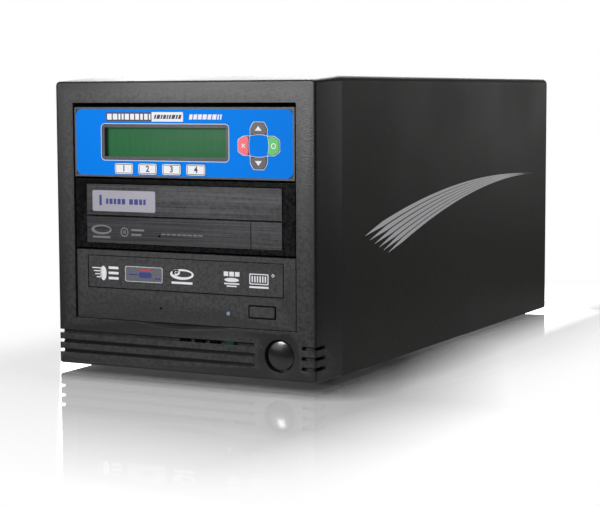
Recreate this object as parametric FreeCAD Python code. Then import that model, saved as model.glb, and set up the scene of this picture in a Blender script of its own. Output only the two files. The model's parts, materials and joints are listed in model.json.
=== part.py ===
import FreeCAD, Part
import math
import os

# A one-to-one optical disc duplicator tower, in millimetres. +Z is up, the front faces -Y and the origin
# is the middle of the box that holds the whole tower, on the surface that its feet stand on.

V = FreeCAD.Vector
X_AXIS = V(1, 0, 0)
Y_AXIS = V(0, 1, 0)
Z_AXIS = V(0, 0, 1)

# Case
foot_height = 3.0
foot_radius = 7.0
foot_taper = 0.8
foot_inset = 24.0
sheet = 0.8
cover_fold_radius = 4.0
cover_flange = 10.0
cover_screw_inset = 57.5
pan_flange = 14.0
plate_flange = 9.0
overrun = 2.0

# Screws
screw_radius = 1.5
screw_head_radius = 2.9
screw_head_height = 1.8
screw_clearance = 0.12
screw_length = 4.0
screw_head_sides = 6
screw_shank_sides = 8

# Plastic front bezel
bezel_depth = 33.0
bezel_wall = 2.5
bezel_top_drop = 2.4
bezel_side_draft = 0.2
bezel_corner_radius = 4.0
bezel_face_radius = 2.6
bezel_foot_radius = 1.4
bezel_edge_radius = 1.3
sleeve_wall = 1.6
hook_width = 8.0
hook_thickness = 1.5
hook_barb = 1.0
hook_reach = 2.4
hook_clearance = 0.3

# Window that shows the three bay devices
window_gap = 1.0
window_top_margin = 12.6
bezel_side_frame = 12.5
scoop_width = 82.0
scoop_drop = 3.0
scoop_angle = 50.0

# Grooves and lamps across the foot of the bezel
groove_count = 3
groove_height = 2.1
groove_depth = 2.9
groove_pitch = 5.85
groove_drop = 7.8
groove_foot_margin = 7.0
groove_gap = 16.0
groove_wrap = 5.0
slot_gap = 14.4
slot_wrap = 11.2
lamp_count = 4
lamp_width = 5.7
lamp_pitch = 10.15
lamp_inset = 63.2
lamp_length = 5.0
lamp_recess = 0.5

# Power button and the switch behind it
power_inset = 23.7
power_rise = 0.3
power_radius = 8.65
power_gap = 0.85
power_dome = 1.3
power_front_recess = 0.6
power_flange = 1.6
power_flange_thickness = 1.2
power_travel = 2.5
power_stem_radius = 2.5
dish_radius = 12.6
dish_depth = 0.7
running_clearance = 0.06
switch_post_radius = 2.4
switch_post_spread = 14.0
switch_post_length = 9.0
switch_plate = (34.0, 1.6, 13.0)
switch_body = (13.0, 12.0, 12.0)

# Bay devices, which share one outline
device_width = 148.0
device_height = 41.0
device_gap = 1.3
device_margin = 0.3
device_top_gap = 2.5
device_recess = 1.0
casing_inset = 1.0
casing_length = 168.0
casing_lift = 0.3
device_face_depth = 6.0
device_wall = 2.0

# Cage that holds the devices
bracket_thickness = 1.0
bracket_clearance = 0.25
bracket_end_gap = 28.0
bracket_foot = 9.0
bracket_screw_ys = (62.0, 141.0)
device_screw_height = 10.0

# Disc tray and its front
door_margin = 7.6
door_gap = 0.45
tray_front_thickness = 3.0
tray_side_gap = 1.0
tray_height_share = 0.5732
tray_thickness = 6.0
tray_end_gap = 5.0
disc_centre = 68.0
disc_recess_radius = 60.6
disc_recess_depth = 2.4
small_disc_radius = 40.6
small_disc_depth = 1.1
hub_opening_radius = 18.0
pickup_slot_width = 50.0
tray_rear_bar = 9.0

# Rack under the tray and the pinion that drives it
gear_module = 1.0
gear_teeth = 16
pressure_angle = 20.0
gear_backlash = 0.25
addendum_share = 1.0
dedendum_share = 1.25
rack_bar = 3.0
rack_height = 3.5
rack_inset = 11.0
pinion_y = 25.0
pinion_drop = 0.4
pinion_height = 3.2
motor_radius = 9.0
motor_gap = 3.4
motor_shaft_radius = 1.5
flank_steps = 3

# Loader frame that carries the tray
loader_side_gap = 2.7
loader_start = 13.5
loader_end_gap = 11.0
loader_floor = 4.0
loader_floor_thickness = 2.0
rail_wall = 4.5
rail_ledge = 4.0
rail_ledge_thickness = 1.6
tray_clearance = 0.3
rail_lip_gap = 0.5
rail_lip = 3.0
rail_lip_thickness = 1.5
bridge_width = 24.0
bridge_rise = 5.0
bridge_thickness = 1.8

# Traverse, turntable and pickup sled
traverse_width = 92.0
traverse_front = 47.0
traverse_end_gap = 9.0
traverse_end_bar = 11.0
traverse_bottom = 8.0
traverse_thickness = 4.0
traverse_gap = 1.0
traverse_pivot_inset = 4.0
trunnion_radius = 2.0
trunnion_length = 5.5
boss_width = 5.0
boss_half_depth = 4.5
boss_height = 8.0
traverse_slot_width = 54.0
spindle_motor_radius = 13.0
spindle_motor_height = 6.0
turntable_radius = 14.0
turntable_thickness = 2.4
turntable_gap = 0.6
hub_radius = 7.3
hub_tip_radius = 6.0
hub_height = 1.9
spindle_radius = 1.5
spindle_depth = 5.0
sled_width = 48.0
sled_length = 22.0
sled_height = 9.0
sled_front_gap = 2.5
sled_floor_gap = 0.4
rod_radius = 1.5
rod_spread = 19.0
rod_height = 2.5
lens_radius = 3.0
lens_height = 1.2

# Drive circuit board and rear connectors
board_thickness = 1.6
board_lift = 0.6
board_length = 52.0
drive_connector = (34.0, 6.0, 8.0)
eject_switch = (6.0, 3.5, 8.0)

# Eject buttons
eject_travel = 1.0
eject_gap = 0.3
writer_eject_gap = 0.5
eject_proud = 0.5
eject_flange = 1.2
eject_flange_thickness = 1.0
eject_post = 2.0
eject_post_inset = 13.85
eject_post_height = 9.6
writer_eject_width = 16.3
writer_eject_height = 6.1
pinhole_radius = 0.7
writer_pinhole = (-15.2, 8.2)
writer_lamp = (30.3, 7.7)
lamp_radius = 1.25
lamp_proud = 0.2

# Door places above the foot of each drive's face, and the master's raised plate
writer_door_bottom = 18.2
writer_door_top = 3.1
master_door_bottom = 19.1
master_door_top = 2.6
fascia_bottom = 3.1
fascia_proud = 0.7
master_eject_width = 20.0

# Control panel
panel_face_wall = 2.2
panel_skirt = 1.0
overlay_margin = 1.1
overlay_radius = 3.9
overlay_thickness = 0.5
rim_inset = 18.1
rim_cross_gap = 6.25
rim_height = 21.0
rim_radius = 2.2
rim_centre_height = 20.6
rim_border = 2.0
display_recess = 2.4
display_glass_thickness = 1.5
display_border = 2.0
panel_board_y = 13.0
board_margin = 0.3
carrier_length = 150.0
control_board_inset = 13.0
control_board_gap = 45.0
control_board_lift = 5.0
chip_size = (28.0, 28.0, 2.6)
stand_radius = 2.5

# Keys
key_gap = 0.3
key_proud = 0.5
key_travel = 0.4
key_radius = 1.4
key_flange = 0.8
key_flange_thickness = 0.9
key_post = 3.0
key_switch = (6.0, 3.6, 6.0)
mode_key_width = 12.6
mode_key_height = 6.3
mode_key_pitch = 16.4
mode_key_inset = 15.7
mode_key_centre = 5.0
cross_inset = 21.7
cross_drop = 1.2
cross_reach = 9.5
cross_length = 10.4
cross_depth = 7.2
cross_outer_share = 0.62
cross_dish = 0.8

# Power supply
psu_side_gap = 12.5
psu_height = 86.0
psu_depth = 140.0
psu_wall = 1.0
psu_fan_inset = 48.0
psu_socket_inset = 29.0
psu_screw_inset = 6.0
psu_cut_margin = 4.0
inlet_width = 27.0
inlet_height = 19.5
inlet_depth = 20.0
inlet_wall = 1.8
inlet_rim = 2.0
inlet_rim_thickness = 1.0
inlet_rise = 22.0
inlet_corner_cut = 4.0
inlet_floor = 4.0
blade_size = (2.0, 4.0)
blade_spread = 7.0
blade_drop = 2.0
blade_recess = 5.0
rocker_drop = 24.0
rocker_width = 19.0
rocker_height = 13.0
rocker_case_depth = 14.0
rocker_wall = 1.5
rocker_gap = 0.4
rocker_rim = 1.5
rocker_angle = 16.0
rocker_axle_radius = 1.2
rocker_pivot_depth = 3.6

# Fans and their grilles
fan_gap = 12.2
fan_depth = 25.0
fan_screw_inset = 5.0
fan_rim = 1.5
fan_corner_radius = 4.0
fan_flange = 4.0
fan_barrel_wall = 1.4
fan_tip_gap = 1.3
supply_rotor_margin = 6.5
fan_hub_radius = 13.0
fan_hub_depth = 18.0
blade_count = 7
blade_chord = 17.0
blade_twist = 34.0
blade_thickness = 1.2
blade_root_share = 1.0
blade_tip_share = 0.7
fan_strut_width = 4.0
fan_strut_thickness = 2.0
fan_strut_count = 4
grille_ring_pitch = 7.2
grille_ring_gap = 4.6
grille_inner_radius = 8.4
grille_spokes = 4
grille_spoke_width = 4.5
vent_count = 4
case_fan_inset = 53.5

# Data socket at the back
socket_inset = 35.5
socket_rise = 46.0
socket_width = 12.0
socket_height = 11.0
socket_depth = 16.0
socket_wall = 1.2
socket_tongue = (5.6, 3.2)
socket_tongue_recess = 4.5
socket_board = (22.0, 1.6, 18.0)

# Internal leads
lead_radius = 2.0
lead_sides = 8
lead_bend = 8.0
lead_spread = 9.0
lead_stagger = 6.0
lead_inset = 23.0
cable_room = 64.4

# Sizes worked out from the ones above
device_pitch = device_height + device_gap
casing_width = device_width - 2 * casing_inset
casing_height = device_height - 2 * casing_lift
window_width = device_width + 2 * window_gap
window_height = device_margin + 2 * device_pitch + device_height + device_top_gap
foot_band = groove_drop + groove_height + (groove_count - 1) * groove_pitch + groove_foot_margin
case_width = window_width + 2 * bezel_side_frame
case_height = foot_band + window_height + window_top_margin + bezel_top_drop
case_depth = device_recess + device_face_depth + casing_length + cable_room + psu_depth + 2 * sheet
overall_depth = case_depth + screw_head_height
bracket_length = casing_length - bracket_end_gap
door_width = device_width - 2 * door_margin
writer_door_height = device_height - writer_door_bottom - writer_door_top
master_door_height = device_height - master_door_bottom - master_door_top
loader_half_width = casing_width / 2 - sheet - loader_side_gap
loader_end = device_face_depth + casing_length - loader_end_gap
tray_width = 2 * (loader_half_width - rail_wall - tray_side_gap)
tray_length = loader_end - tray_end_gap - tray_front_thickness
tray_bottom = tray_height_share * device_height
tray_top = tray_bottom + tray_thickness
motor_height = tray_bottom - pinion_drop - pinion_height - loader_floor - loader_floor_thickness - motor_gap
traverse_back = loader_end - traverse_end_gap
traverse_pivot_y = traverse_back - traverse_pivot_inset
pivot_height = traverse_bottom + traverse_thickness / 2
sled_offset = disc_centre + turntable_radius + sled_front_gap
sled_travel = traverse_back - traverse_end_bar - sled_front_gap - sled_length - sled_offset
pitch_radius = gear_module * gear_teeth / 2
overlay_width = device_width - 2 * overlay_margin
overlay_height = device_height - 2 * overlay_margin
control_board_width = casing_width - 2 * control_board_inset
control_board_length = carrier_length - control_board_gap
psu_width = case_width - 2 * psu_side_gap
supply_rotor_radius = psu_height / 2 - supply_rotor_margin

# Places worked out from the sizes above
front_y = -overall_depth / 2
seam_y = front_y + bezel_depth
back_y = front_y + case_depth
bottom_z = foot_height
top_z = bottom_z + case_height
floor_z = bottom_z + sheet
inner_half = case_width / 2 - sheet
bezel_top_z = top_z - bezel_top_drop
window_top_z = bezel_top_z - window_top_margin
window_z = window_top_z - window_height
face_y = front_y + device_recess
casing_y = face_y + device_face_depth
writer_z = window_z + device_margin
master_z = writer_z + device_pitch
panel_z = master_z + device_pitch
power_x = case_width / 2 - power_inset
power_z = window_z - groove_drop - groove_height / 2 - (groove_count - 1) * groove_pitch / 2 + power_rise
groove_end_x = power_x - groove_gap
slot_start_x = power_x + slot_gap
lamp_first_x = power_x - lamp_inset
band_back_y = front_y + bezel_wall + groove_depth
bay_half = casing_width / 2 + bracket_clearance
rack_pitch_x = rack_inset - tray_width / 2
eject_post_x = door_width / 2 - eject_post_inset
writer_eject = (eject_post_x, eject_post_height, writer_eject_width, writer_eject_height)
cross_x = overlay_width / 2 - cross_inset
cross_centre = device_height / 2 - cross_drop
rim_left_x = rim_inset - overlay_width / 2
rim_right_x = cross_x - cross_reach - cross_depth / 2 - rim_cross_gap
rim_centre_x = (rim_left_x + rim_right_x) / 2
rim_width = rim_right_x - rim_left_x
mode_key_first_x = rim_left_x + mode_key_inset
rear_face_y = back_y - sheet
psu_z = floor_z
psu_top_z = psu_z + psu_height
psu_fan_x = psu_fan_inset - psu_width / 2
psu_socket_x = psu_width / 2 - psu_socket_inset
rocker_rise = psu_height - rocker_drop
case_fan_x = case_fan_inset - case_width / 2
case_fan_z = (psu_top_z + top_z - sheet) / 2
fan_size = top_z - sheet - psu_top_z - 2 * fan_gap
fan_screw_pitch = fan_size - 2 * fan_screw_inset
fan_bore_radius = fan_size / 2 - fan_rim
case_rotor_radius = fan_bore_radius - fan_tip_gap
socket_x = case_width / 2 - socket_inset
lead_x = casing_width / 2 - lead_inset
cover_screw_x = case_width / 2 - cover_screw_inset


def span(centre, size):
    """The two ends of a size that is centred on a place."""
    return centre - size / 2, centre + size / 2


def block(xs, ys, zs):
    """A box between two places along each axis."""
    low = V(min(xs), min(ys), min(zs))
    high = V(max(xs), max(ys), max(zs))
    size = high - low
    return Part.makeBox(size.x, size.y, size.z, low)


def rod(start, direction, radius, length):
    """A round bar from a point along a direction."""
    return Part.makeCylinder(radius, length, start, direction)


def fuse(shapes):
    """One clean solid made of shapes that meet."""
    shapes = list(shapes)
    whole = shapes[0]
    if len(shapes) > 1:
        whole = whole.multiFuse(shapes[1:])
    return whole.removeSplitter()


def cut(shape, tools):
    """A shape without what the tools cover."""
    return shape.cut(list(tools)).removeSplitter()


def polygon_prism(points, path):
    """A flat outline pushed along a path."""
    wire = Part.makePolygon(list(points) + [points[0]])
    return Part.Face(wire).extrude(path)


def rounded_wire(xs, zs, top_radius, foot_radius, y):
    """A rectangle with round corners in the plane that faces the front."""
    (x0, x1), (z0, z1) = sorted(xs), sorted(zs)
    corners = ((x1, z1, 1, 1, top_radius), (x0, z1, -1, 1, top_radius),
               (x0, z0, -1, -1, foot_radius), (x1, z0, 1, -1, foot_radius))
    arcs = []
    for index, (corner_x, corner_z, sx, sz, radius) in enumerate(corners):
        x = corner_x - sx * radius
        z = corner_z - sz * radius
        diagonal = radius * math.sqrt(0.5)
        side = V(corner_x, y, z)
        end = V(x, y, corner_z)
        middle = V(x + sx * diagonal, y, z + sz * diagonal)
        start, stop = (side, end) if index % 2 == 0 else (end, side)
        arcs.append((start, middle, stop))
    edges = []
    for index, (start, middle, stop) in enumerate(arcs):
        edges.append(Part.Arc(start, middle, stop).toShape())
        edges.append(Part.LineSegment(stop, arcs[(index + 1) % len(arcs)][0]).toShape())
    return Part.Wire(edges)


def rounded_block(xs, ys, zs, radius):
    """A box whose four edges along Y are round."""
    y0, y1 = sorted(ys)
    return Part.Face(rounded_wire(xs, zs, radius, radius, y0)).extrude(Y_AXIS * (y1 - y0))


def frame(xs, ys, zs, wall):
    """A rectangular ring around the Y direction."""
    (x0, x1), (y0, y1), (z0, z1) = sorted(xs), sorted(ys), sorted(zs)
    hole = block((x0 + wall, x1 - wall), (y0 - overrun, y1 + overrun), (z0 + wall, z1 - wall))
    return block(xs, ys, zs).cut(hole)


def ring_points(centre, direction, radius, sides):
    """Corners of a regular outline round a centre, the first one repeated at the end."""
    across = X_AXIS if abs(direction.x) < abs(direction.y) + abs(direction.z) else Z_AXIS
    up = direction.cross(across)
    angles = [2 * math.pi * index / sides for index in range(sides)]
    points = [centre + (across * math.cos(angle) + up * math.sin(angle)) * radius for angle in angles]
    return points + [points[0]]


def bar(start, direction, radius, length, sides):
    """A bar with flat sides, inside the circle of its radius."""
    return polygon_prism(ring_points(start, direction, radius, sides)[:-1], direction * length)


def screw(head_face, direction):
    """A hex-headed screw whose head sits on a face, with its shank going the other way."""
    head = bar(head_face, direction, screw_head_radius, screw_head_height, screw_head_sides)
    shank = bar(head_face, direction * -1, screw_radius, screw_length, screw_shank_sides)
    return fuse([head, shank])


def screw_hole(place, direction):
    """The hole that a screw passes through, long enough for any sheet."""
    return rod(place - direction * screw_length, direction, screw_radius + screw_clearance, 2 * screw_length)


def turned(points, base, direction):
    """A round solid from radius and height pairs about a line that starts at the base."""
    outline = [V(radius, 0, height) for radius, height in points]
    face = Part.Face(Part.makePolygon(outline + [outline[0]]))
    solid = face.revolve(V(0, 0, 0), Z_AXIS, 360)
    solid.Placement = FreeCAD.Placement(base, FreeCAD.Rotation(Z_AXIS, direction))
    return solid


def save(name, solids):
    """Write one solid, or one group of like solids, as a named part."""
    solids = solids if isinstance(solids, list) else [solids]
    for solid in solids:
        if not solid.isValid() or solid.ShapeType == "Compound" and len(solid.Solids) != 1:
            raise ValueError(f"{name} is not one closed solid: {solid.ShapeType} {len(solid.Solids)}")
    bodies = [solid.Solids[0] for solid in solids]
    shape = bodies[0] if len(bodies) == 1 else Part.makeCompound(bodies)
    shape.exportStep(os.path.join("parts", name + ".step"))


# Case


def rear_screw_places():
    """Where the cover's rear flanges are screwed to the rear panel."""
    side_x = case_width / 2 - cover_flange / 2
    high_z = top_z - cover_flange / 2
    low_z = bottom_z + cover_flange
    places = [V(sign * side_x, back_y, z) for sign in (-1, 1) for z in (low_z, high_z - cover_flange)]
    return places + [V(cover_screw_x, back_y, high_z)]


def psu_screw_places():
    """The four screws that hold the power supply to the rear panel."""
    half = psu_width / 2 - psu_screw_inset
    heights = (psu_z + psu_screw_inset, psu_top_z - psu_screw_inset)
    return [V(sign * half, rear_face_y, z) for sign in (-1, 1) for z in heights]


def fan_screw_places(x, y, z):
    """The four corners where the case fan is screwed."""
    half = fan_screw_pitch / 2
    return [V(x + sx * half, y, z + sz * half) for sx in (-1, 1) for sz in (-1, 1)]


def foot_places():
    """The centres of the four feet."""
    half_x = case_width / 2 - foot_inset
    ys = (seam_y + foot_inset, back_y - foot_inset)
    return [V(sign * half_x, y, 0) for sign in (-1, 1) for y in ys]


def top_cover():
    """The folded cover: a top and two sides, with flanges turned in at the back."""
    outer_half = case_width / 2
    low_z = bottom_z - cover_fold_radius
    outer = rounded_block((-outer_half, outer_half), (seam_y, back_y), (low_z, top_z), cover_fold_radius)
    inner = rounded_block((-inner_half, inner_half), (seam_y - overrun, rear_face_y), (low_z, top_z - sheet),
                          cover_fold_radius - sheet)
    opening = block(span(0, case_width - 2 * cover_flange), (rear_face_y - overrun, back_y + overrun),
                    (low_z - overrun, top_z - cover_flange))
    below = block(span(0, case_width + 2 * overrun), (seam_y - overrun, back_y + overrun),
                  (low_z - overrun, bottom_z))
    holes = [screw_hole(place, Y_AXIS) for place in rear_screw_places()]
    return cut(outer, [inner, opening, below] + holes)


def base_pan():
    """The floor of the case, with side flanges inside the cover."""
    ys = (seam_y, rear_face_y - sheet)
    floor = block((-inner_half, inner_half), ys, (bottom_z, floor_z))
    sides = [block((sign * inner_half, sign * (inner_half - sheet)), (seam_y + sheet, ys[1]),
                   (bottom_z, bottom_z + pan_flange)) for sign in (-1, 1)]
    return fuse([floor] + sides)


def rubber_feet():
    """Four round feet that narrow towards the floor."""
    points = ((0, 0), (foot_radius - foot_taper, 0), (foot_radius, foot_height), (0, foot_height))
    return [turned(points, place, Z_AXIS) for place in foot_places()]


def ring_slots(centre, depth, reach):
    """Curved slots in rings about a centre, as many as the reach has room for, parted by straight spokes."""
    rings = []
    room = reach - grille_inner_radius - grille_ring_gap
    for index in range(math.floor(room / grille_ring_pitch) + 1):
        inner = grille_inner_radius + index * grille_ring_pitch
        start = V(centre.x, centre.y - overrun, centre.z)
        disc = rod(start, Y_AXIS, inner + grille_ring_gap, depth + 2 * overrun)
        rings.append(disc.cut(rod(start, Y_AXIS, inner, depth + 2 * overrun)))
    spokes = []
    for index in range(grille_spokes):
        spoke = block(span(centre.x, psu_height), (centre.y - 2 * overrun, centre.y + depth + 2 * overrun),
                      span(centre.z, grille_spoke_width))
        spoke.rotate(centre, Y_AXIS, 180 * (index + 0.5) / grille_spokes)
        spokes.append(spoke)
    return [ring.cut(spokes) for ring in rings]


def rear_panel():
    """The steel back of the case, cut for the power supply, the fan and the data socket."""
    zs = (bottom_z, top_z - sheet)
    plate = rounded_block((-inner_half, inner_half), (rear_face_y - sheet, rear_face_y), zs,
                          cover_fold_radius - sheet)
    supply = block(span(0, psu_width - 4 * psu_screw_inset), (back_y + overrun, rear_face_y - 2 * overrun),
                   (psu_z + psu_cut_margin, psu_top_z - psu_cut_margin))
    fan_centre = V(case_fan_x, rear_face_y - sheet, case_fan_z)
    socket = block(span(socket_x, socket_width + 2 * hook_clearance), (back_y, rear_face_y - 2 * overrun),
                   span(psu_top_z + socket_rise, socket_height + 2 * hook_clearance))
    places = rear_screw_places() + psu_screw_places()
    places += fan_screw_places(case_fan_x, rear_face_y, case_fan_z)
    holes = [screw_hole(place, Y_AXIS) for place in places]
    return cut(plate, [supply, socket] + ring_slots(fan_centre, sheet, fan_bore_radius) + holes)


def rear_screws():
    """Screws of the cover, the power supply and the case fan."""
    cover = [screw(place, Y_AXIS) for place in rear_screw_places()]
    supply = [screw(place, Y_AXIS) for place in psu_screw_places()]
    fan = [screw(place, Y_AXIS) for place in fan_screw_places(case_fan_x, rear_face_y, case_fan_z)]
    return cover + supply + fan


def hook_places():
    """Where the bezel's hooks pass through the front plate."""
    x = (window_width / 2 + case_width / 2) / 2
    heights = (window_z + hook_width, window_top_z - hook_width)
    return [(sign * x, z) for sign in (-1, 1) for z in heights]


def front_plate():
    """The steel front that the bezel hooks into, with flanges for the cover to slide over."""
    plate = block((-inner_half, inner_half), (seam_y, seam_y + sheet), (floor_z, top_z - sheet))
    top = block((-inner_half + cover_fold_radius, inner_half - cover_fold_radius),
                (seam_y, seam_y + plate_flange), (top_z - sheet, top_z - 2 * sheet))
    corners = cut(block((-inner_half, inner_half), (seam_y - overrun, seam_y + overrun),
                        (top_z - 2 * cover_fold_radius, top_z)),
                  [rounded_block((-inner_half, inner_half), (seam_y - overrun, seam_y + overrun),
                                 (floor_z, top_z - sheet), cover_fold_radius)])
    window = block(span(0, window_width), (seam_y - overrun, seam_y + overrun), (window_z, window_top_z))
    slot_width = hook_thickness + 2 * hook_clearance + hook_barb
    slots = [block(span(x, slot_width), (seam_y - overrun, seam_y + overrun),
                   span(z, hook_width + 2 * hook_clearance)) for x, z in hook_places()]
    button = rod(V(power_x, seam_y - overrun, power_z), Y_AXIS, power_radius, 2 * overrun)
    return cut(fuse([plate, top]), [corners, window, button] + slots)


def bay_bracket(sign):
    """One side wall of the cage, with feet turned out to the front plate and the floor."""
    inner = sign * bay_half
    outer = sign * (bay_half + bracket_thickness)
    ys = (seam_y + sheet, seam_y + sheet + bracket_length)
    wall = block((inner, outer), ys, (floor_z, window_top_z))
    foot = block((inner, outer + sign * bracket_foot), ys, (floor_z, floor_z + bracket_thickness))
    ear = block((inner, outer + sign * bracket_foot), (ys[0], ys[0] + bracket_thickness),
                (floor_z, window_z - groove_drop))
    holes = [screw_hole(V(outer, y, z), X_AXIS) for y, z in bay_screw_places()]
    window = block(span(inner, 2 * overrun + 2 * bracket_thickness),
                   (ys[0] + bracket_foot, bay_screw_places()[0][0] - bracket_foot),
                   (writer_z + bracket_foot, panel_z + bracket_foot))
    return cut(fuse([wall, foot, ear]), holes + [window])


def bay_screw_places():
    """Depth and height of the screws on each side of the three devices."""
    heights = [z + device_screw_height for z in (writer_z, master_z, panel_z)]
    return [(face_y + y, z) for y in bracket_screw_ys for z in heights]


def bay_screws():
    """Screws through the cage into the devices."""
    face = bay_half + bracket_thickness
    return [screw(V(sign * face, y, z), X_AXIS * sign) for sign in (-1, 1) for y, z in bay_screw_places()]


# Front bezel


def bezel_outside():
    """The bezel's outer form, which grows a little from its face to the seam with the cover."""
    half = case_width / 2
    face_half = half - bezel_side_draft
    face = rounded_wire((-face_half, face_half), (bottom_z + bezel_side_draft, bezel_top_z),
                        bezel_face_radius, bezel_foot_radius, front_y)
    seam = rounded_wire((-half, half), (bottom_z, top_z), bezel_corner_radius, bezel_foot_radius, seam_y)
    solid = Part.makeLoft([face, seam], True, True)
    edges = [edge for edge in solid.Edges
             if all(abs(vertex.Point.y - front_y) < running_clearance for vertex in edge.Vertexes)]
    return solid.makeFillet(bezel_edge_radius, edges)


def groove_heights():
    """The middle heights of the grooves, from the top one down."""
    first = window_z - groove_drop - groove_height / 2
    return [first - index * groove_pitch for index in range(groove_count)]


def bezel_grooves():
    """Cuts for the long grooves round the left corner and the short slots round the right one."""
    half = case_width / 2 + overrun
    cuts = []
    for z in groove_heights():
        zs = span(z, groove_height)
        deep_y = front_y + groove_depth
        side_x = case_width / 2 - bezel_side_draft - groove_depth
        cuts.append(block((-half, groove_end_x), (front_y - overrun, deep_y), zs))
        cuts.append(block((-half, -side_x), (front_y - overrun, front_y + groove_wrap), zs))
        cuts.append(block((slot_start_x, half), (front_y - overrun, deep_y), zs))
        cuts.append(block((side_x, half), (front_y - overrun, front_y + slot_wrap), zs))
    return cuts


def lamp_places():
    """The middles of the lamp windows along the top groove."""
    return [lamp_first_x + index * lamp_pitch for index in range(lamp_count)]


def scoop():
    """A wide shallow bevel under the window, where a finger reaches the lowest device."""
    radius = (scoop_width ** 2 / 4 + scoop_drop ** 2) / (2 * scoop_drop)
    low = V(0, front_y, window_z - scoop_drop)
    drum = rod(low + V(0, -overrun, radius), Y_AXIS, radius, bezel_wall + 2 * overrun)
    drum.rotate(low, X_AXIS, scoop_angle)
    ys = (front_y - overrun, front_y + bezel_wall + overrun)
    limit = block(span(0, scoop_width + 2 * scoop_drop), ys, (low.z - overrun, window_z + overrun))
    return drum.common(limit)


def bezel_hook(x, z):
    """A hook behind the bezel that catches the back of the front plate."""
    sign = math.copysign(1, x)
    xs = span(x, hook_thickness)
    back = seam_y + sheet
    stem = block(xs, (front_y + bezel_wall / 2, back + hook_reach), span(z, hook_width))
    edge = xs[1] if sign > 0 else xs[0]
    barb = polygon_prism([V(edge, back + hook_clearance, z - hook_width / 2),
                          V(edge + sign * hook_barb, back + hook_clearance, z - hook_width / 2),
                          V(edge, back + hook_reach, z - hook_width / 2)], Z_AXIS * hook_width)
    return fuse([stem, barb])


def front_bezel():
    """The moulded front: a hollow shell with the window, the grooves and the power button's dish."""
    outside = bezel_outside()
    half = case_width / 2 - bezel_wall
    low = bottom_z + bezel_wall
    hollow = rounded_block((-half, half), (front_y + bezel_wall, seam_y + overrun),
                           (low, bezel_top_z - bezel_wall), bezel_corner_radius - bezel_wall)
    band = block((-half, half), (front_y + bezel_wall, band_back_y), (low, window_z - sleeve_wall))
    sleeve = block(span(0, window_width + 2 * sleeve_wall), (front_y + bezel_wall, seam_y),
                   (window_z - sleeve_wall, window_top_z + sleeve_wall))
    posts = [rod(V(power_x + sign * switch_post_spread, band_back_y - bezel_wall, power_z), Y_AXIS,
                 switch_post_radius, bezel_wall + switch_post_length) for sign in (-1, 1)]
    hooks = [bezel_hook(x, z) for x, z in hook_places()]
    body = fuse([outside.cut(hollow), band, sleeve] + posts + hooks)
    window = block(span(0, window_width), (front_y - overrun, seam_y + overrun), (window_z, window_top_z))
    lamp_zs = span(groove_heights()[0], groove_height)
    lamps = [block(span(x, lamp_width), (front_y, band_back_y + overrun), lamp_zs) for x in lamp_places()]
    well = rod(V(power_x, front_y - overrun, power_z), Y_AXIS, power_radius + power_gap,
               band_back_y - front_y + 2 * overrun)
    dish_ball = (dish_radius ** 2 + dish_depth ** 2) / (2 * dish_depth)
    dish = Part.makeSphere(dish_ball, V(power_x, front_y - dish_ball + dish_depth, power_z))
    return cut(body, [window, well, dish, scoop()] + lamps + bezel_grooves())


def status_window(x):
    """A lamp window that fills the top groove and its hole at the back."""
    ys = (front_y + lamp_recess, front_y + groove_depth + lamp_length)
    return block(span(x, lamp_width), ys, span(groove_heights()[0], groove_height))


def power_button():
    """A domed round button with a retaining flange and a stem to the switch."""
    cap_back = band_back_y - front_y - power_front_recess
    flange_back = cap_back + power_flange_thickness
    stem_end = cap_back + switch_post_length + switch_plate[1] + power_travel / 2
    flange_radius = power_radius + power_flange
    dome_ball = (power_radius ** 2 + power_dome ** 2) / (2 * power_dome)
    half_angle = math.asin(power_radius / dome_ball) / 2
    bulge = V(dome_ball * math.sin(half_angle), 0, dome_ball * (1 - math.cos(half_angle)))
    points = [V(power_radius, 0, power_dome), V(power_radius, 0, cap_back), V(flange_radius, 0, cap_back),
              V(flange_radius, 0, flange_back), V(power_stem_radius, 0, flange_back),
              V(power_stem_radius, 0, stem_end), V(0, 0, stem_end), V(0, 0, 0)]
    edges = [Part.LineSegment(start, end).toShape() for start, end in zip(points, points[1:])]
    edges.append(Part.Arc(points[-1], bulge, points[0]).toShape())
    button = Part.Face(Part.Wire(edges)).revolve(V(0, 0, 0), Z_AXIS, 360)
    button.Placement = FreeCAD.Placement(V(power_x, front_y + power_front_recess, power_z),
                                         FreeCAD.Rotation(Z_AXIS, Y_AXIS))
    return button


def power_switch():
    """The switch on its plate, which is fixed to two posts behind the bezel."""
    plate_y = band_back_y + switch_post_length
    width, thickness, height = switch_plate
    plate = block(span(power_x, width), (plate_y, plate_y + thickness), span(power_z, height))
    body_y = plate_y + thickness
    body_width, body_depth, body_height = switch_body
    body = block(span(power_x, body_width), (body_y, body_y + body_depth), span(power_z, body_height))
    bore = rod(V(power_x, plate_y - overrun, power_z), Y_AXIS, power_stem_radius + running_clearance,
               overrun + thickness + 2 * power_travel)
    return cut(fuse([plate, body]), [bore])


# Bay devices


def device_casing(base_z, length):
    """The folded steel box of a bay device, open at the front."""
    zs = (base_z + casing_lift, base_z + casing_lift + casing_height)
    outer = block(span(0, casing_width), (casing_y, casing_y + length), zs)
    inner = block(span(0, casing_width - 2 * sheet), (casing_y - overrun, casing_y + length - sheet),
                  (zs[0] + sheet, zs[1] - sheet))
    holes = [screw_hole(V(sign * casing_width / 2, face_y + y, base_z + device_screw_height), X_AXIS)
             for sign in (-1, 1) for y in bracket_screw_ys]
    return cut(outer, [inner] + holes)


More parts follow.
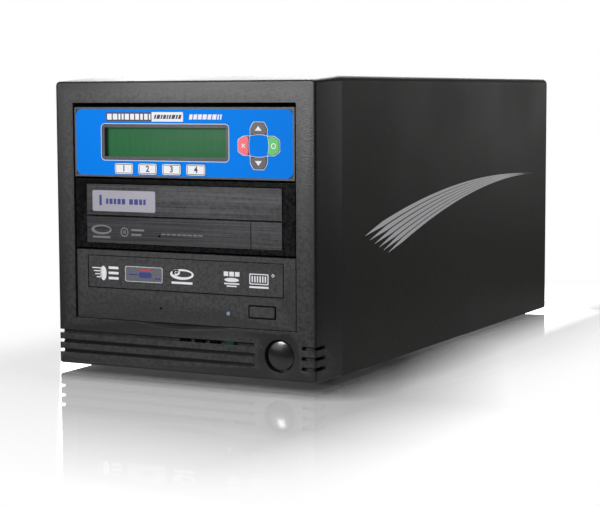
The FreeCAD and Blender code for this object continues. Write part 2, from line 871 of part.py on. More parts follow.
def drive_casing(base_z):
    """A drive's casing, with the cut at the back for its plugs."""
    width, depth, height = drive_connector
    gap = hook_clearance
    low = board_top(base_z)
    back = casing_y + casing_length
    zs = (low - gap, low + height + gap)
    plugs = block(span(lead_x, width + 2 * gap), (back - depth, back + overrun), zs)
    return cut(device_casing(base_z, casing_length), [plugs])


def board_top(base_z):
    """Height of a drive board's upper face."""
    return base_z + casing_lift + sheet + board_lift + board_thickness


def drive_board(base_z):
    """A drive's circuit board on the casing floor, with the eject switch and the rear plugs."""
    top = board_top(base_z)
    back = casing_y + casing_length - sheet
    half = casing_width / 2 - sheet - screw_length
    low = top - board_thickness
    strip = block((-half, half), (eject_tact_y(), back - sheet), (low, top))
    studs = [rod(V(sign * (half - stand_radius), y, low - board_lift), Z_AXIS, stand_radius, board_lift)
             for sign in (-1, 1) for y in (casing_y + board_length, back - board_length)]
    width, depth, height = drive_connector
    plugs = block(span(lead_x, width), (back - sheet - depth, back + sheet), (top, top + height))
    return fuse([strip, plugs] + studs + [eject_tact(base_z)])


def eject_tact_y():
    """The front of the eject switches, just ahead of the loader frames."""
    return face_y + loader_start - running_clearance - eject_switch[1]


def eject_tact(base_z):
    """The small switch that an eject button pushes."""
    width, depth, height = eject_switch
    low = board_top(base_z)
    return block(span(eject_post_x, width), (eject_tact_y(), eject_tact_y() + depth), (low, low + height))


def door(base_z, bottom, height):
    """Ends of the door opening in a drive's face, along X and Z."""
    return span(0, door_width), (base_z + bottom, base_z + bottom + height)


def eject_cap(base_z, centre_x, centre_height, width, height, proud):
    """An eject button: a cap, a flange that keeps it in, and a post to its switch."""
    z = base_z + centre_height
    cap = block(span(centre_x, width), (face_y - proud, face_y + device_wall), span(z, height))
    wall_back = face_y + device_wall
    flange = block(span(centre_x, width + 2 * eject_flange), (wall_back, wall_back + eject_flange_thickness),
                   span(z, height - 2 * eject_flange))
    stop_y = eject_tact_y() - eject_travel - running_clearance
    post = block(span(eject_post_x, eject_post), (wall_back, stop_y),
                 span(base_z + eject_post_height, eject_post))
    return fuse([cap, flange, post])


def device_face(base_z):
    """The plain outline of a drive's face: a front wall with a skirt behind it."""
    xs = span(0, device_width)
    zs = (base_z, base_z + device_height)
    wall = block(xs, (face_y, face_y + device_wall), zs)
    skirt = frame(xs, (face_y, casing_y), zs, device_wall)
    return fuse([wall, skirt])


def writer_face():
    """The writer's face, with its door, eject opening, lamp hole and release pinhole."""
    xs, zs = door(writer_z, writer_door_bottom, writer_door_height)
    opening = block(xs, (face_y - overrun, casing_y + overrun), zs)
    x, height, width, tall = writer_eject
    button = block(span(x, width + 2 * writer_eject_gap), (face_y - overrun, face_y + device_wall + overrun),
                   span(writer_z + height, tall + 2 * writer_eject_gap))
    pin = rod(V(writer_pinhole[0], face_y - overrun, writer_z + writer_pinhole[1]), Y_AXIS, pinhole_radius,
              device_wall + 2 * overrun)
    lamp = rod(V(writer_lamp[0], face_y - overrun, writer_z + writer_lamp[1]), Y_AXIS, lamp_radius,
               device_wall + 2 * overrun)
    return cut(device_face(writer_z), [opening, button, pin, lamp])


def writer_lamp_pipe():
    """The writer's round lamp, which fills its hole."""
    start = V(writer_lamp[0], face_y - lamp_proud, writer_z + writer_lamp[1])
    return rod(start, Y_AXIS, lamp_radius, device_wall + lamp_proud)


def master_eject_place():
    """Middle, height and size of the master's eject button, the right end of its lower plate."""
    height = master_door_bottom - door_gap - fascia_bottom
    right = door_width / 2 - door_gap
    return right - master_eject_width / 2, fascia_bottom + height / 2, master_eject_width, height


def master_face():
    """The master's gloss surround, open behind its tray front and eject button."""
    xs, zs = door(master_z, master_door_bottom, master_door_height)
    opening = block(xs, (face_y - overrun, casing_y + overrun), zs)
    x, height, width, tall = master_eject_place()
    button = block(span(x, width + 2 * eject_gap), (face_y - overrun, face_y + device_wall + overrun),
                   span(master_z + height, tall + 2 * eject_gap))
    pin = rod(V(writer_pinhole[0], face_y - overrun, master_z + writer_pinhole[1]), Y_AXIS, pinhole_radius,
              device_wall + 2 * overrun)
    return cut(device_face(master_z), [opening, button, pin])


def master_plate():
    """The fixed lower brushed plate on the master's face."""
    x, height, width, tall = master_eject_place()
    xs = (-door_width / 2 + door_gap, x - width / 2 - eject_gap)
    plate = block(xs, (face_y - fascia_proud, face_y), span(master_z + height, tall))
    pin = rod(V(writer_pinhole[0], face_y - overrun, master_z + writer_pinhole[1]), Y_AXIS, pinhole_radius,
              2 * overrun)
    return cut(plate, [pin])


def tray_front(base_z, bottom, height, proud):
    """The front of a tray, which closes the door."""
    (x0, x1), (z0, z1) = door(base_z, bottom, height)
    ys = (face_y - proud, face_y + tray_front_thickness)
    return block((x0 + door_gap, x1 - door_gap), ys, (z0 + door_gap, z1 - door_gap))


def rack_outline(z):
    """Points of the rack bar with its teeth, which face the middle of the drive."""
    pitch = math.pi * gear_module
    addendum = gear_module * addendum_share
    dedendum = gear_module * dedendum_share
    slope = math.tan(math.radians(pressure_angle))
    half = pitch / 4 - gear_backlash / 2
    start = face_y + tray_front_thickness + rack_bar
    end = face_y + tray_front_thickness + tray_length
    back_x = rack_pitch_x - dedendum - rack_bar
    points = [V(back_x, end, z), V(back_x, start, z), V(rack_pitch_x - dedendum, start, z)]
    first = math.ceil((start - face_y - pinion_y) / pitch + 0.5)
    last = math.floor((end - face_y - pinion_y) / pitch - 0.5)
    for index in range(first, last + 1):
        centre = face_y + pinion_y + index * pitch
        for side in (-1, 1):
            root = V(rack_pitch_x - dedendum, centre + side * (half + dedendum * slope), z)
            tip = V(rack_pitch_x + addendum, centre + side * (half - addendum * slope), z)
            points += [root, tip] if side < 0 else [tip, root]
    return points + [V(rack_pitch_x - dedendum, end, z)]


def tray(base_z):
    """The disc tray: a plate with two disc recesses, the pickup slot and a toothed rack below."""
    low = base_z + tray_bottom
    top = base_z + tray_top
    start = face_y + tray_front_thickness
    plate = block(span(0, tray_width), (start, start + tray_length), (low, top))
    centre_y = face_y + disc_centre
    large_z = top - disc_recess_depth
    large = rod(V(0, centre_y, large_z), Z_AXIS, disc_recess_radius, disc_recess_depth + overrun)
    small = rod(V(0, centre_y, large_z - small_disc_depth), Z_AXIS, small_disc_radius,
                small_disc_depth + overrun)
    hub = rod(V(0, centre_y, low - overrun), Z_AXIS, hub_opening_radius, tray_thickness + 2 * overrun)
    slot_ys = (centre_y + hub_opening_radius / 2, start + tray_length - tray_rear_bar)
    slot = block(span(0, pickup_slot_width), slot_ys, (low - overrun, top + overrun))
    rack = polygon_prism(rack_outline(low - rack_height), Z_AXIS * rack_height)
    return cut(fuse([plate, rack]), [large, small, hub, slot])


def involute(radius, base_radius):
    """How far round the circle an involute has turned at a radius."""
    tangent = math.sqrt(max((radius / base_radius) ** 2 - 1, 0))
    return tangent - math.atan(tangent)


def pinion_outline(z):
    """Points of the pinion's involute teeth, with a gap facing the rack at rest."""
    base_radius = pitch_radius * math.cos(math.radians(pressure_angle))
    tip = pitch_radius + gear_module * addendum_share
    root = pitch_radius - gear_module * dedendum_share
    half_tooth = (math.pi * gear_module / 2 - gear_backlash) / (2 * pitch_radius)
    at_pitch = involute(pitch_radius, base_radius)
    centre = V(rack_pitch_x + pitch_radius, face_y + pinion_y, z)
    points = []
    for tooth in range(gear_teeth):
        middle = math.pi + 2 * math.pi * (tooth + 0.5) / gear_teeth
        flank = [(root, half_tooth + at_pitch)]
        for step in range(flank_steps + 1):
            radius = base_radius + (tip - base_radius) * step / flank_steps
            flank.append((radius, half_tooth + at_pitch - involute(radius, base_radius)))
        rising = [(radius, middle - angle) for radius, angle in flank]
        falling = [(radius, middle + angle) for radius, angle in reversed(flank)]
        points += [centre + V(radius * math.cos(angle), radius * math.sin(angle), 0)
                   for radius, angle in rising + falling]
    return points


def loading_gear(base_z):
    """The pinion that drives the rack, on the motor's shaft."""
    top = base_z + tray_bottom - pinion_drop
    low = top - pinion_height
    teeth = polygon_prism(pinion_outline(low), Z_AXIS * pinion_height)
    floor = base_z + loader_floor + loader_floor_thickness
    shaft = rod(V(rack_pitch_x + pitch_radius, face_y + pinion_y, floor + motor_height / 2), Z_AXIS,
                motor_shaft_radius, low - floor - motor_height / 2)
    return fuse([teeth, shaft])


def loading_motor(base_z):
    """The geared motor that stands on the loader frame under the pinion."""
    floor = base_z + loader_floor + loader_floor_thickness
    centre = V(rack_pitch_x + pitch_radius, face_y + pinion_y, floor)
    can = rod(centre, Z_AXIS, motor_radius, motor_height)
    bore_start = centre + Z_AXIS * (motor_height / 2 - overrun / 2)
    bore = rod(bore_start, Z_AXIS, motor_shaft_radius + running_clearance, motor_height)
    return cut(can, [bore])


def loader_frame(base_z):
    """The moulded frame in a drive: a floor, two tray rails, a clamp bridge and the traverse bosses."""
    ys = (face_y + loader_start, face_y + loader_end)
    low = base_z + loader_floor
    floor_top = low + loader_floor_thickness
    lip_z = base_z + tray_top + rail_lip_gap
    bridge_z = base_z + tray_top + bridge_rise
    ledge_top = base_z + tray_bottom - tray_clearance
    pivot_y = face_y + traverse_pivot_y
    parts = [block((-loader_half_width, loader_half_width), ys, (low, floor_top))]
    for sign in (-1, 1):
        outer = sign * loader_half_width
        inner = sign * (loader_half_width - rail_wall)
        parts.append(block((outer, inner), ys, (low, bridge_z + bridge_thickness)))
        ledge_zs = (ledge_top - rail_ledge_thickness, ledge_top)
        parts.append(block((inner, inner - sign * rail_ledge), ys, ledge_zs))
        parts.append(block((inner, inner - sign * rail_lip), ys, (lip_z, lip_z + rail_lip_thickness)))
        side = traverse_width / 2 + traverse_gap
        parts.append(block((sign * side, sign * (side + boss_width)), span(pivot_y, 2 * boss_half_depth),
                           (low, floor_top + boss_height)))
    parts.append(block((-loader_half_width, loader_half_width), span(face_y + disc_centre, bridge_width),
                       (bridge_z, bridge_z + bridge_thickness)))
    opening = block(span(0, traverse_width + 2 * traverse_gap),
                    (face_y + traverse_front - 2 * traverse_gap, face_y + traverse_back + 2 * traverse_gap),
                    (low - overrun, base_z + tray_bottom - tray_clearance))
    reach = traverse_width / 2 + traverse_gap + boss_width + overrun
    bore = rod(V(-reach, pivot_y, base_z + pivot_height), X_AXIS, trunnion_radius + running_clearance,
               2 * reach)
    return cut(fuse(parts), [opening, bore])


def traverse(base_z):
    """The lifting plate that carries the spindle motor, the sled's rods and its own trunnions."""
    low = base_z + traverse_bottom
    top = low + traverse_thickness
    ys = (face_y + traverse_front, face_y + traverse_back)
    plate = block(span(0, traverse_width), ys, (low, top))
    centre_y = face_y + disc_centre
    slot_start = centre_y + turntable_radius + sled_front_gap / 2
    slot_end = sled_start() + sled_length + sled_travel + sled_front_gap
    slot = block(span(0, traverse_slot_width), (slot_start, slot_end), (low - overrun, top + overrun))
    can = rod(V(0, centre_y, top), Z_AXIS, spindle_motor_radius, spindle_motor_height)
    rods = [rod(V(sign * rod_spread, slot_start - rod_radius, low + rod_height), Y_AXIS, rod_radius,
                slot_end - slot_start + 2 * rod_radius) for sign in (-1, 1)]
    pivot = V(traverse_width / 2, face_y + traverse_pivot_y, base_z + pivot_height)
    pins = [rod(V(sign * pivot.x, pivot.y, pivot.z), X_AXIS * sign, trunnion_radius, trunnion_length)
            for sign in (-1, 1)]
    shaft_hole = rod(V(0, centre_y, top + spindle_motor_height - spindle_depth - overrun), Z_AXIS,
                     spindle_radius + running_clearance, spindle_depth + 2 * overrun)
    return fuse([cut(fuse([plate, can]), [slot, shaft_hole])] + rods + pins)


def sled_start():
    """Where the sled's front edge rests, behind the turntable."""
    return face_y + sled_offset


def turntable(base_z):
    """The turntable with the hub that centres a disc, on the spindle."""
    base = base_z + traverse_bottom + traverse_thickness + spindle_motor_height
    plate_low = turntable_gap
    plate_top = plate_low + turntable_thickness
    points = ((0, -spindle_depth), (spindle_radius, -spindle_depth), (spindle_radius, plate_low),
              (turntable_radius, plate_low), (turntable_radius, plate_top), (hub_radius, plate_top),
              (hub_tip_radius, plate_top + hub_height), (0, plate_top + hub_height))
    return turned(points, V(0, face_y + disc_centre, base), Z_AXIS)


def sled(base_z):
    """The pickup sled, which slides on two rods and carries the lens."""
    low = base_z + traverse_bottom + sled_floor_gap
    start = sled_start()
    body = block(span(0, sled_width), (start, start + sled_length), (low, low + sled_height))
    lens = rod(V(0, start + sled_length / 3, low + sled_height), Z_AXIS, lens_radius, lens_height)
    bores = [rod(V(sign * rod_spread, start - overrun, base_z + traverse_bottom + rod_height), Y_AXIS,
                 rod_radius + running_clearance, sled_length + 2 * overrun) for sign in (-1, 1)]
    return cut(fuse([body, lens]), bores)


def drive_inside(prefix, base_z):
    """Write the parts that both drives have behind their faces."""
    save(prefix + "_casing", drive_casing(base_z))
    save(prefix + "_loader_frame", loader_frame(base_z))
    save(prefix + "_tray", tray(base_z))
    save(prefix + "_loading_gear", loading_gear(base_z))
    save(prefix + "_traverse", traverse(base_z))
    save(prefix + "_turntable", turntable(base_z))
    save(prefix + "_sled", sled(base_z))


# Control panel


def rim_box(border, ys):
    """A rounded block on the display's centre, smaller than the rim by a border."""
    zs = span(panel_z + rim_centre_height, rim_height - 2 * border)
    radius = max(rim_radius - border, key_gap)
    return rounded_block(span(rim_centre_x, rim_width - 2 * border), ys, zs, radius)


def mode_key_outline(index, grow):
    """The ends of a mode key along X and Z, grown by a margin."""
    x = mode_key_first_x + index * mode_key_pitch
    return (span(x, mode_key_width + 2 * grow),
            span(panel_z + mode_key_centre, mode_key_height + 2 * grow))


def mode_key_block(index, ys, grow):
    """A mode key's rounded block between two depths."""
    xs, zs = mode_key_outline(index, grow)
    return rounded_block(xs, ys, zs, key_radius + grow)


def cross_key_block(turn, ys, grow):
    """A cross key's block: wide and dished towards the middle of the cross, narrow outside."""
    y0, y1 = sorted(ys)
    wide = cross_length / 2 + grow
    narrow = wide * cross_outer_share
    inner = cross_reach - cross_depth / 2 - grow
    outer = cross_reach + cross_depth / 2 + grow
    knee = outer - cross_depth / 2
    centre = V(cross_x, y0, panel_z + cross_centre)
    outline = [V(-wide, 0, inner), V(-wide, 0, knee), V(-narrow, 0, outer), V(narrow, 0, outer),
               V(wide, 0, knee), V(wide, 0, inner)]
    edges = [Part.LineSegment(start, end).toShape() for start, end in zip(outline, outline[1:])]
    edges.append(Part.Arc(outline[-1], V(0, 0, inner + cross_dish), outline[0]).toShape())
    solid = Part.Face(Part.Wire(edges)).extrude(Y_AXIS * (y1 - y0))
    upright = [edge for edge in solid.Edges if abs(edge.Length - (y1 - y0)) < running_clearance]
    solid = solid.makeFillet(key_radius, upright)
    solid.rotate(V(0, 0, 0), Y_AXIS, turn)
    solid.translate(centre)
    return solid


CROSS_TURNS = {"key_up": 0, "key_confirm": 90, "key_down": 180, "key_cancel": 270}
MODE_NAMES = ("key_one", "key_two", "key_three", "key_four")


def key_centre(name):
    """The middle of a key along X and Z."""
    if name in MODE_NAMES:
        return mode_key_first_x + MODE_NAMES.index(name) * mode_key_pitch, panel_z + mode_key_centre
    angle = math.radians(CROSS_TURNS[name])
    return cross_x + cross_reach * math.sin(angle), panel_z + cross_centre + cross_reach * math.cos(angle)


def key_block(name, ys, grow):
    """Any key's outline between two depths, grown by a margin."""
    if name in MODE_NAMES:
        return mode_key_block(MODE_NAMES.index(name), ys, grow)
    return cross_key_block(CROSS_TURNS[name], ys, grow)


def key_flange_block(name, ys):
    """The flange that keeps a key in, wider than the key only where there is room for it."""
    if name in MODE_NAMES:
        x, z = key_centre(name)
        return block(span(x, mode_key_width + 2 * key_flange), ys, span(z, mode_key_height))
    flange = block(span(0, cross_length + 2 * key_flange), ys,
                   (cross_reach, cross_reach + cross_depth / 2 + key_flange))
    flange.rotate(V(0, 0, 0), Y_AXIS, CROSS_TURNS[name])
    flange.translate(V(cross_x, 0, panel_z + cross_centre))
    return flange


def key(name):
    """A key: a cap through the panel, a flange behind it and a post to its switch."""
    x, z = key_centre(name)
    wall_back = face_y + panel_face_wall
    cap = key_block(name, (face_y - overlay_thickness - key_proud, wall_back), 0)
    flange = key_flange_block(name, (wall_back, wall_back + key_flange_thickness))
    stop = face_y + panel_board_y - key_switch[1] - key_travel - running_clearance
    post = block(span(x, key_post), (wall_back + key_flange_thickness, stop), span(z, key_post))
    return fuse([cap, flange, post])


def key_names():
    """Every key's part name."""
    return list(MODE_NAMES) + list(CROSS_TURNS)


def panel_face():
    """The dark plate behind the blue overlay, with the display's raised rim."""
    xs = span(0, device_width)
    zs = (panel_z, panel_z + device_height)
    plate = block(xs, (face_y, face_y + panel_face_wall), zs)
    skirt = frame(xs, (face_y, casing_y), zs, panel_skirt)
    border = frame(xs, (face_y - overlay_thickness, face_y), zs, (device_width - overlay_width) / 2)
    rim = rim_box(key_gap, (face_y - overlay_thickness, face_y))
    sight = rim_box(rim_border, (face_y - overrun, face_y + panel_face_wall + overrun))
    holes = [key_block(name, (face_y - overrun, face_y + panel_face_wall + overrun), key_gap)
             for name in key_names()]
    return cut(fuse([plate, skirt, border, rim]), [sight] + holes)


def panel_overlay():
    """The blue overlay sheet, cut for the display's rim and the keys."""
    ys = (face_y - overlay_thickness, face_y)
    zs = span(panel_z + device_height / 2, overlay_height)
    sheet_shape = rounded_block(span(0, overlay_width), ys, zs, overlay_radius)
    through = (face_y - overrun, face_y + overrun)
    holes = [key_block(name, through, key_gap) for name in key_names()]
    return cut(sheet_shape, [rim_box(0, through)] + holes)


def display_glass():
    """The display's glass, set back behind the rim."""
    front = face_y + display_recess
    grow = display_border - rim_border
    return rim_box(-grow + key_gap, (front, front + display_glass_thickness))


def panel_board():
    """The board behind the panel, with the display's frame and a switch for each key."""
    y = face_y + panel_board_y
    zs = span(panel_z + device_height / 2, casing_height - 2 * sheet - 2 * board_margin)
    board = block(span(0, casing_width - 2 * sheet - 2 * board_margin), (y, y + board_thickness), zs)
    glass_back = face_y + display_recess + display_glass_thickness
    module = rim_box(-display_border / 2, (glass_back, y))
    parts = [board, module]
    for name in key_names():
        x, z = key_centre(name)
        width, depth, height = key_switch
        parts.append(block(span(x, width), (y - depth, y), span(z, height)))
    return fuse(parts)


def panel_carrier():
    """The sheet tray that the panel and the control board are mounted in."""
    return device_casing(panel_z, carrier_length)


def controller_board():
    """The duplicator's control board on its stand-offs in the carrier."""
    floor = panel_z + casing_lift + sheet
    y0 = casing_y + carrier_length - sheet - control_board_length
    ys = (y0, y0 + control_board_length - stand_radius)
    low = floor + control_board_lift
    board = block(span(0, control_board_width), ys, (low, low + board_thickness))
    post_x = control_board_width / 2 - 2 * stand_radius
    post_ys = (ys[0] + 2 * stand_radius, ys[1] - 2 * stand_radius)
    posts = [rod(V(sign * post_x, y, floor), Z_AXIS, stand_radius, control_board_lift)
             for sign in (-1, 1) for y in post_ys]
    chip_width, chip_depth, chip_height = chip_size
    chip = block(span(0, chip_width), span((ys[0] + ys[1]) / 2, chip_depth),
                 (low + board_thickness, low + board_thickness + chip_height))
    return fuse([board, chip] + posts)


# Power supply and back


def inlet_hex(grow, ys):
    """The power inlet's outline: a rectangle with two corners cut away."""
    half_x = inlet_width / 2 - inlet_wall + grow
    half_z = inlet_height / 2 - inlet_wall + grow
    z = psu_z + inlet_rise
    low, high = z - half_z, z + half_z
    y0, y1 = sorted(ys)
    points = [V(psu_socket_x - half_x, y0, low), V(psu_socket_x + half_x, y0, low),
              V(psu_socket_x + half_x, y0, high - inlet_corner_cut),
              V(psu_socket_x + half_x - inlet_corner_cut, y0, high),
              V(psu_socket_x - half_x + inlet_corner_cut, y0, high),
              V(psu_socket_x - half_x, y0, high - inlet_corner_cut)]
    return polygon_prism(points, Y_AXIS * (y1 - y0))


def power_inlet():
    """The mains inlet: a cup with a rim on the supply's face and three blades inside."""
    face = rear_face_y - sheet
    back = face + inlet_rim_thickness
    cup = inlet_hex(inlet_wall, (face - inlet_depth, back))
    rim = block(span(psu_socket_x, inlet_width + 2 * inlet_rim), (face, back),
                span(psu_z + inlet_rise, inlet_height + 2 * inlet_rim))
    cavity = inlet_hex(0, (face - inlet_depth + inlet_floor, back + overrun))
    shell = cut(fuse([cup, rim]), [cavity])
    blades = []
    width, height = blade_size
    ys = (face - inlet_depth + inlet_floor, back - blade_recess)
    for side in (-1, 0, 1):
        z = psu_z + inlet_rise + (blade_drop if side == 0 else -blade_drop)
        blades.append(block(span(psu_socket_x + side * blade_spread, width), ys, span(z, height)))
    return fuse([shell] + blades)


def rocker_case():
    """The open-backed case of the supply's switch, with bearings for the rocker's axle."""
    face = rear_face_y - sheet
    back = face + inlet_rim_thickness
    z = psu_z + rocker_rise
    width = rocker_width + 2 * rocker_wall
    height = rocker_height + 2 * rocker_wall
    body = block(span(psu_socket_x, width), (face - rocker_case_depth, back), span(z, height))
    rim = block(span(psu_socket_x, width + 2 * rocker_rim), (face, back), span(z, height + 2 * rocker_rim))
    cavity_ys = (face - rocker_case_depth + rocker_wall, back + overrun)
    cavity = block(span(psu_socket_x, rocker_width), cavity_ys, span(z, rocker_height))
    bearing = rod(V(psu_socket_x - (rocker_width + rocker_wall) / 2, face - rocker_pivot_depth, z), X_AXIS,
                  rocker_axle_radius + running_clearance, rocker_width + rocker_wall)
    return cut(fuse([body, rim]), [cavity, bearing])


def psu_rocker():
    """The rocker, pressed in at its top, which tilts about the axle in its case."""
    face = rear_face_y - sheet
    z = psu_z + rocker_rise
    pivot = V(psu_socket_x, face - rocker_pivot_depth, z)
    tilt = math.radians(rocker_angle / 2)
    reach = rocker_pivot_depth + inlet_rim_thickness
    half = rocker_height / 2 - rocker_gap - reach * math.sin(tilt)
    rise = half * math.tan(tilt)
    x0 = psu_socket_x - rocker_width / 2 + rocker_gap
    foot_y = pivot.y - rocker_axle_radius
    edge_y = pivot.y + reach - rise
    points = [V(x0, foot_y, z - half / 2), V(x0, foot_y, z + half / 2), V(x0, edge_y, z + half),
              V(x0, pivot.y + reach, z), V(x0, edge_y, z - half)]
    paddle = polygon_prism(points, X_AXIS * (rocker_width - 2 * rocker_gap))
    paddle.rotate(pivot, X_AXIS, -rocker_angle / 2)
    axle_length = rocker_width + rocker_wall - 2 * running_clearance
    axle = rod(V(psu_socket_x - axle_length / 2, pivot.y, z), X_AXIS, rocker_axle_radius, axle_length)
    return fuse([paddle, axle])


def psu_shell():
    """The supply's steel box, with its fan grille, fan motor and openings for the inlet and the switch."""
    back = rear_face_y - sheet
    xs = span(0, psu_width)
    ys = (back - psu_depth, back)
    zs = (psu_z, psu_top_z)
    inner = block(span(0, psu_width - 2 * psu_wall), (ys[0] + psu_wall, back - psu_wall),
                  (zs[0] + psu_wall, zs[1] - psu_wall))
    fan_centre = V(psu_fan_x, back - psu_wall, psu_z + psu_height / 2)
    inlet = inlet_hex(inlet_wall, (back - 2 * psu_wall, back + overrun))
    switch_ys = (back - 2 * psu_wall, back + overrun)
    switch = block(span(psu_socket_x, rocker_width + 2 * rocker_wall), switch_ys,
                   span(psu_z + rocker_rise, rocker_height + 2 * rocker_wall))
    holes = [screw_hole(place, Y_AXIS) for place in psu_screw_places()]
    vents = [block(span(x, grille_ring_gap), (ys[0] - overrun, ys[0] + psu_wall + overrun),
                   span(psu_z + psu_height / 2, psu_height / 2))
             for x in [-index * 2 * grille_ring_pitch for index in range(vent_count)]]
    slots = ring_slots(fan_centre, psu_wall, supply_rotor_radius)
    shell = cut(block(xs, ys, zs), [inner, inlet, switch] + slots + holes + vents)
    boss_y = back - psu_wall - fan_strut_thickness
    boss_z = psu_z + psu_height / 2
    boss = rod(V(psu_fan_x, boss_y, boss_z), Y_AXIS, grille_inner_radius, fan_strut_thickness)
    return fuse([shell, rotor_pin(boss, psu_fan_x, boss_y, boss_z)])


def rotor_pin(boss, x, y, z):
    """A boss with the pin that a fan's rotor turns on, pointing away from the back."""
    return fuse([boss, rod(V(x, y, z), Y_AXIS * -1, spindle_radius, fan_hub_depth / 2)])


def fan_rotor(x, back, z, tip_radius):
    """A fan's rotor: a cup-shaped hub with twisted blades, bored for its pin."""
    face = back - key_travel
    hub = rod(V(x, face, z), Y_AXIS * -1, fan_hub_radius, fan_hub_depth)
    parts = [hub]
    for index in range(blade_count):
        sections = []
        ends = ((fan_hub_radius - blade_thickness, blade_root_share), (tip_radius, blade_tip_share))
        for radius, share in ends:
            twist = math.radians(90 - blade_twist * share)
            along = V(0, -math.sin(twist), math.cos(twist)) * (blade_chord * share / 2)
            across = V(0, math.cos(twist), math.sin(twist)) * (blade_thickness / 2)
            middle = V(radius, -fan_hub_depth / 2, 0)
            corners = [middle - along - across, middle + along - across, middle + along + across,
                       middle - along + across]
            sections.append(Part.makePolygon(corners + [corners[0]]))
        blade = Part.makeLoft(sections, True, True)
        blade.rotate(V(0, 0, 0), Y_AXIS, 360 * index / blade_count)
        blade.translate(V(x, face, z))
        parts.append(blade)
    bore = rod(V(x, face + overrun, z), Y_AXIS * -1, spindle_radius + running_clearance,
               fan_hub_depth / 2 + 2 * overrun)
    return cut(fuse(parts), [bore])


def case_fan_frame():
    """The case fan's square frame with its round duct, motor boss and struts."""
    back = rear_face_y - sheet
    ys = (back - fan_depth, back)
    xs = span(case_fan_x, fan_size)
    zs = span(case_fan_z, fan_size)
    plates = [rounded_block(xs, (y, y + fan_flange), zs, fan_corner_radius)
              for y in (ys[0], back - fan_flange)]
    barrel = rod(V(case_fan_x, ys[0], case_fan_z), Y_AXIS, fan_bore_radius + fan_barrel_wall, fan_depth)
    duct = rod(V(case_fan_x, ys[0] - overrun, case_fan_z), Y_AXIS, fan_bore_radius, fan_depth + 2 * overrun)
    holes = [screw_hole(place, Y_AXIS) for y in (back - fan_flange / 2, ys[0])
             for place in fan_screw_places(case_fan_x, y, case_fan_z)]
    strut_y = back - fan_strut_thickness
    struts = []
    for index in range(fan_strut_count):
        strut = block((case_fan_x, case_fan_x + fan_bore_radius + fan_barrel_wall / 2), (strut_y, back),
                    span(case_fan_z, fan_strut_width))
        strut.rotate(V(case_fan_x, strut_y, case_fan_z), Y_AXIS, 360 * (index + 0.5) / fan_strut_count)
        struts.append(strut)
    boss = rod(V(case_fan_x, strut_y, case_fan_z), Y_AXIS, fan_hub_radius, fan_strut_thickness)
    housing = cut(fuse(plates + [barrel]), [duct] + holes)
    return fuse([housing, rotor_pin(boss, case_fan_x, strut_y, case_fan_z)] + struts)


def data_socket():
    """The square data socket at the back, on its small board."""
    face = rear_face_y
    z = psu_top_z + socket_rise
    shell = block(span(socket_x, socket_width), (face - socket_depth, face), span(z, socket_height))
    cavity_ys = (face - socket_depth + socket_wall, face + overrun)
    cavity = block(span(socket_x, socket_width - 2 * socket_wall), cavity_ys,
                   span(z, socket_height - 2 * socket_wall))
    width, height = socket_tongue
    tongue = block(span(socket_x, width), (face - socket_depth, face - socket_tongue_recess), span(z, height))
    board_width, board_depth, board_height = socket_board
    board_y = rear_face_y - sheet
    board = block(span(socket_x, board_width), (board_y - board_depth, board_y), span(z, board_height))
    return fuse([cut(fuse([shell, board]), [cavity]), tongue])


def bent_tube(start, along, middle, end):
    """A lead from a start, out along one direction, across and back along it to its end."""
    radius = lead_bend
    rise = V(0, 0, math.copysign(1, end.z - start.z))
    first = V(start.x, middle, start.z)
    second = V(start.x, middle, end.z)
    parts = []
    here = start
    for corner, into, out in ((first, along, rise), (second, rise, along)):
        begin = corner - into * radius
        parts.append(bar(here, into, lead_radius, (begin - here).Length, lead_sides))
        section = Part.Face(Part.makePolygon(ring_points(begin, into, lead_radius, lead_sides)))
        parts.append(section.revolve(begin + out * radius, out.cross(into) * -1, 90))
        here = corner + out * radius
    parts.append(bar(here, along, lead_radius, (end - here).Length, lead_sides))
    return fuse(parts)


def internal_leads():
    """The leads from the power supply to the two drives and the control board."""
    supply_y = rear_face_y - sheet - psu_depth
    drive_y = casing_y + casing_length
    carrier_y = casing_y + carrier_length
    plug_rise = drive_connector[2] / 2
    start_z = board_top(writer_z) + plug_rise + device_pitch / 2
    leads = []
    ends = ((drive_y, board_top(writer_z) + plug_rise), (drive_y, board_top(master_z) + plug_rise),
            (carrier_y, panel_z + device_height / 2))
    for index, (y, z) in enumerate(ends):
        x = lead_x + (index - 1) * lead_spread
        middle = supply_y - lead_bend - lead_stagger * (index + 1)
        leads.append(bent_tube(V(x, supply_y, start_z), Y_AXIS * -1, middle, V(x, y, z)))
    return leads


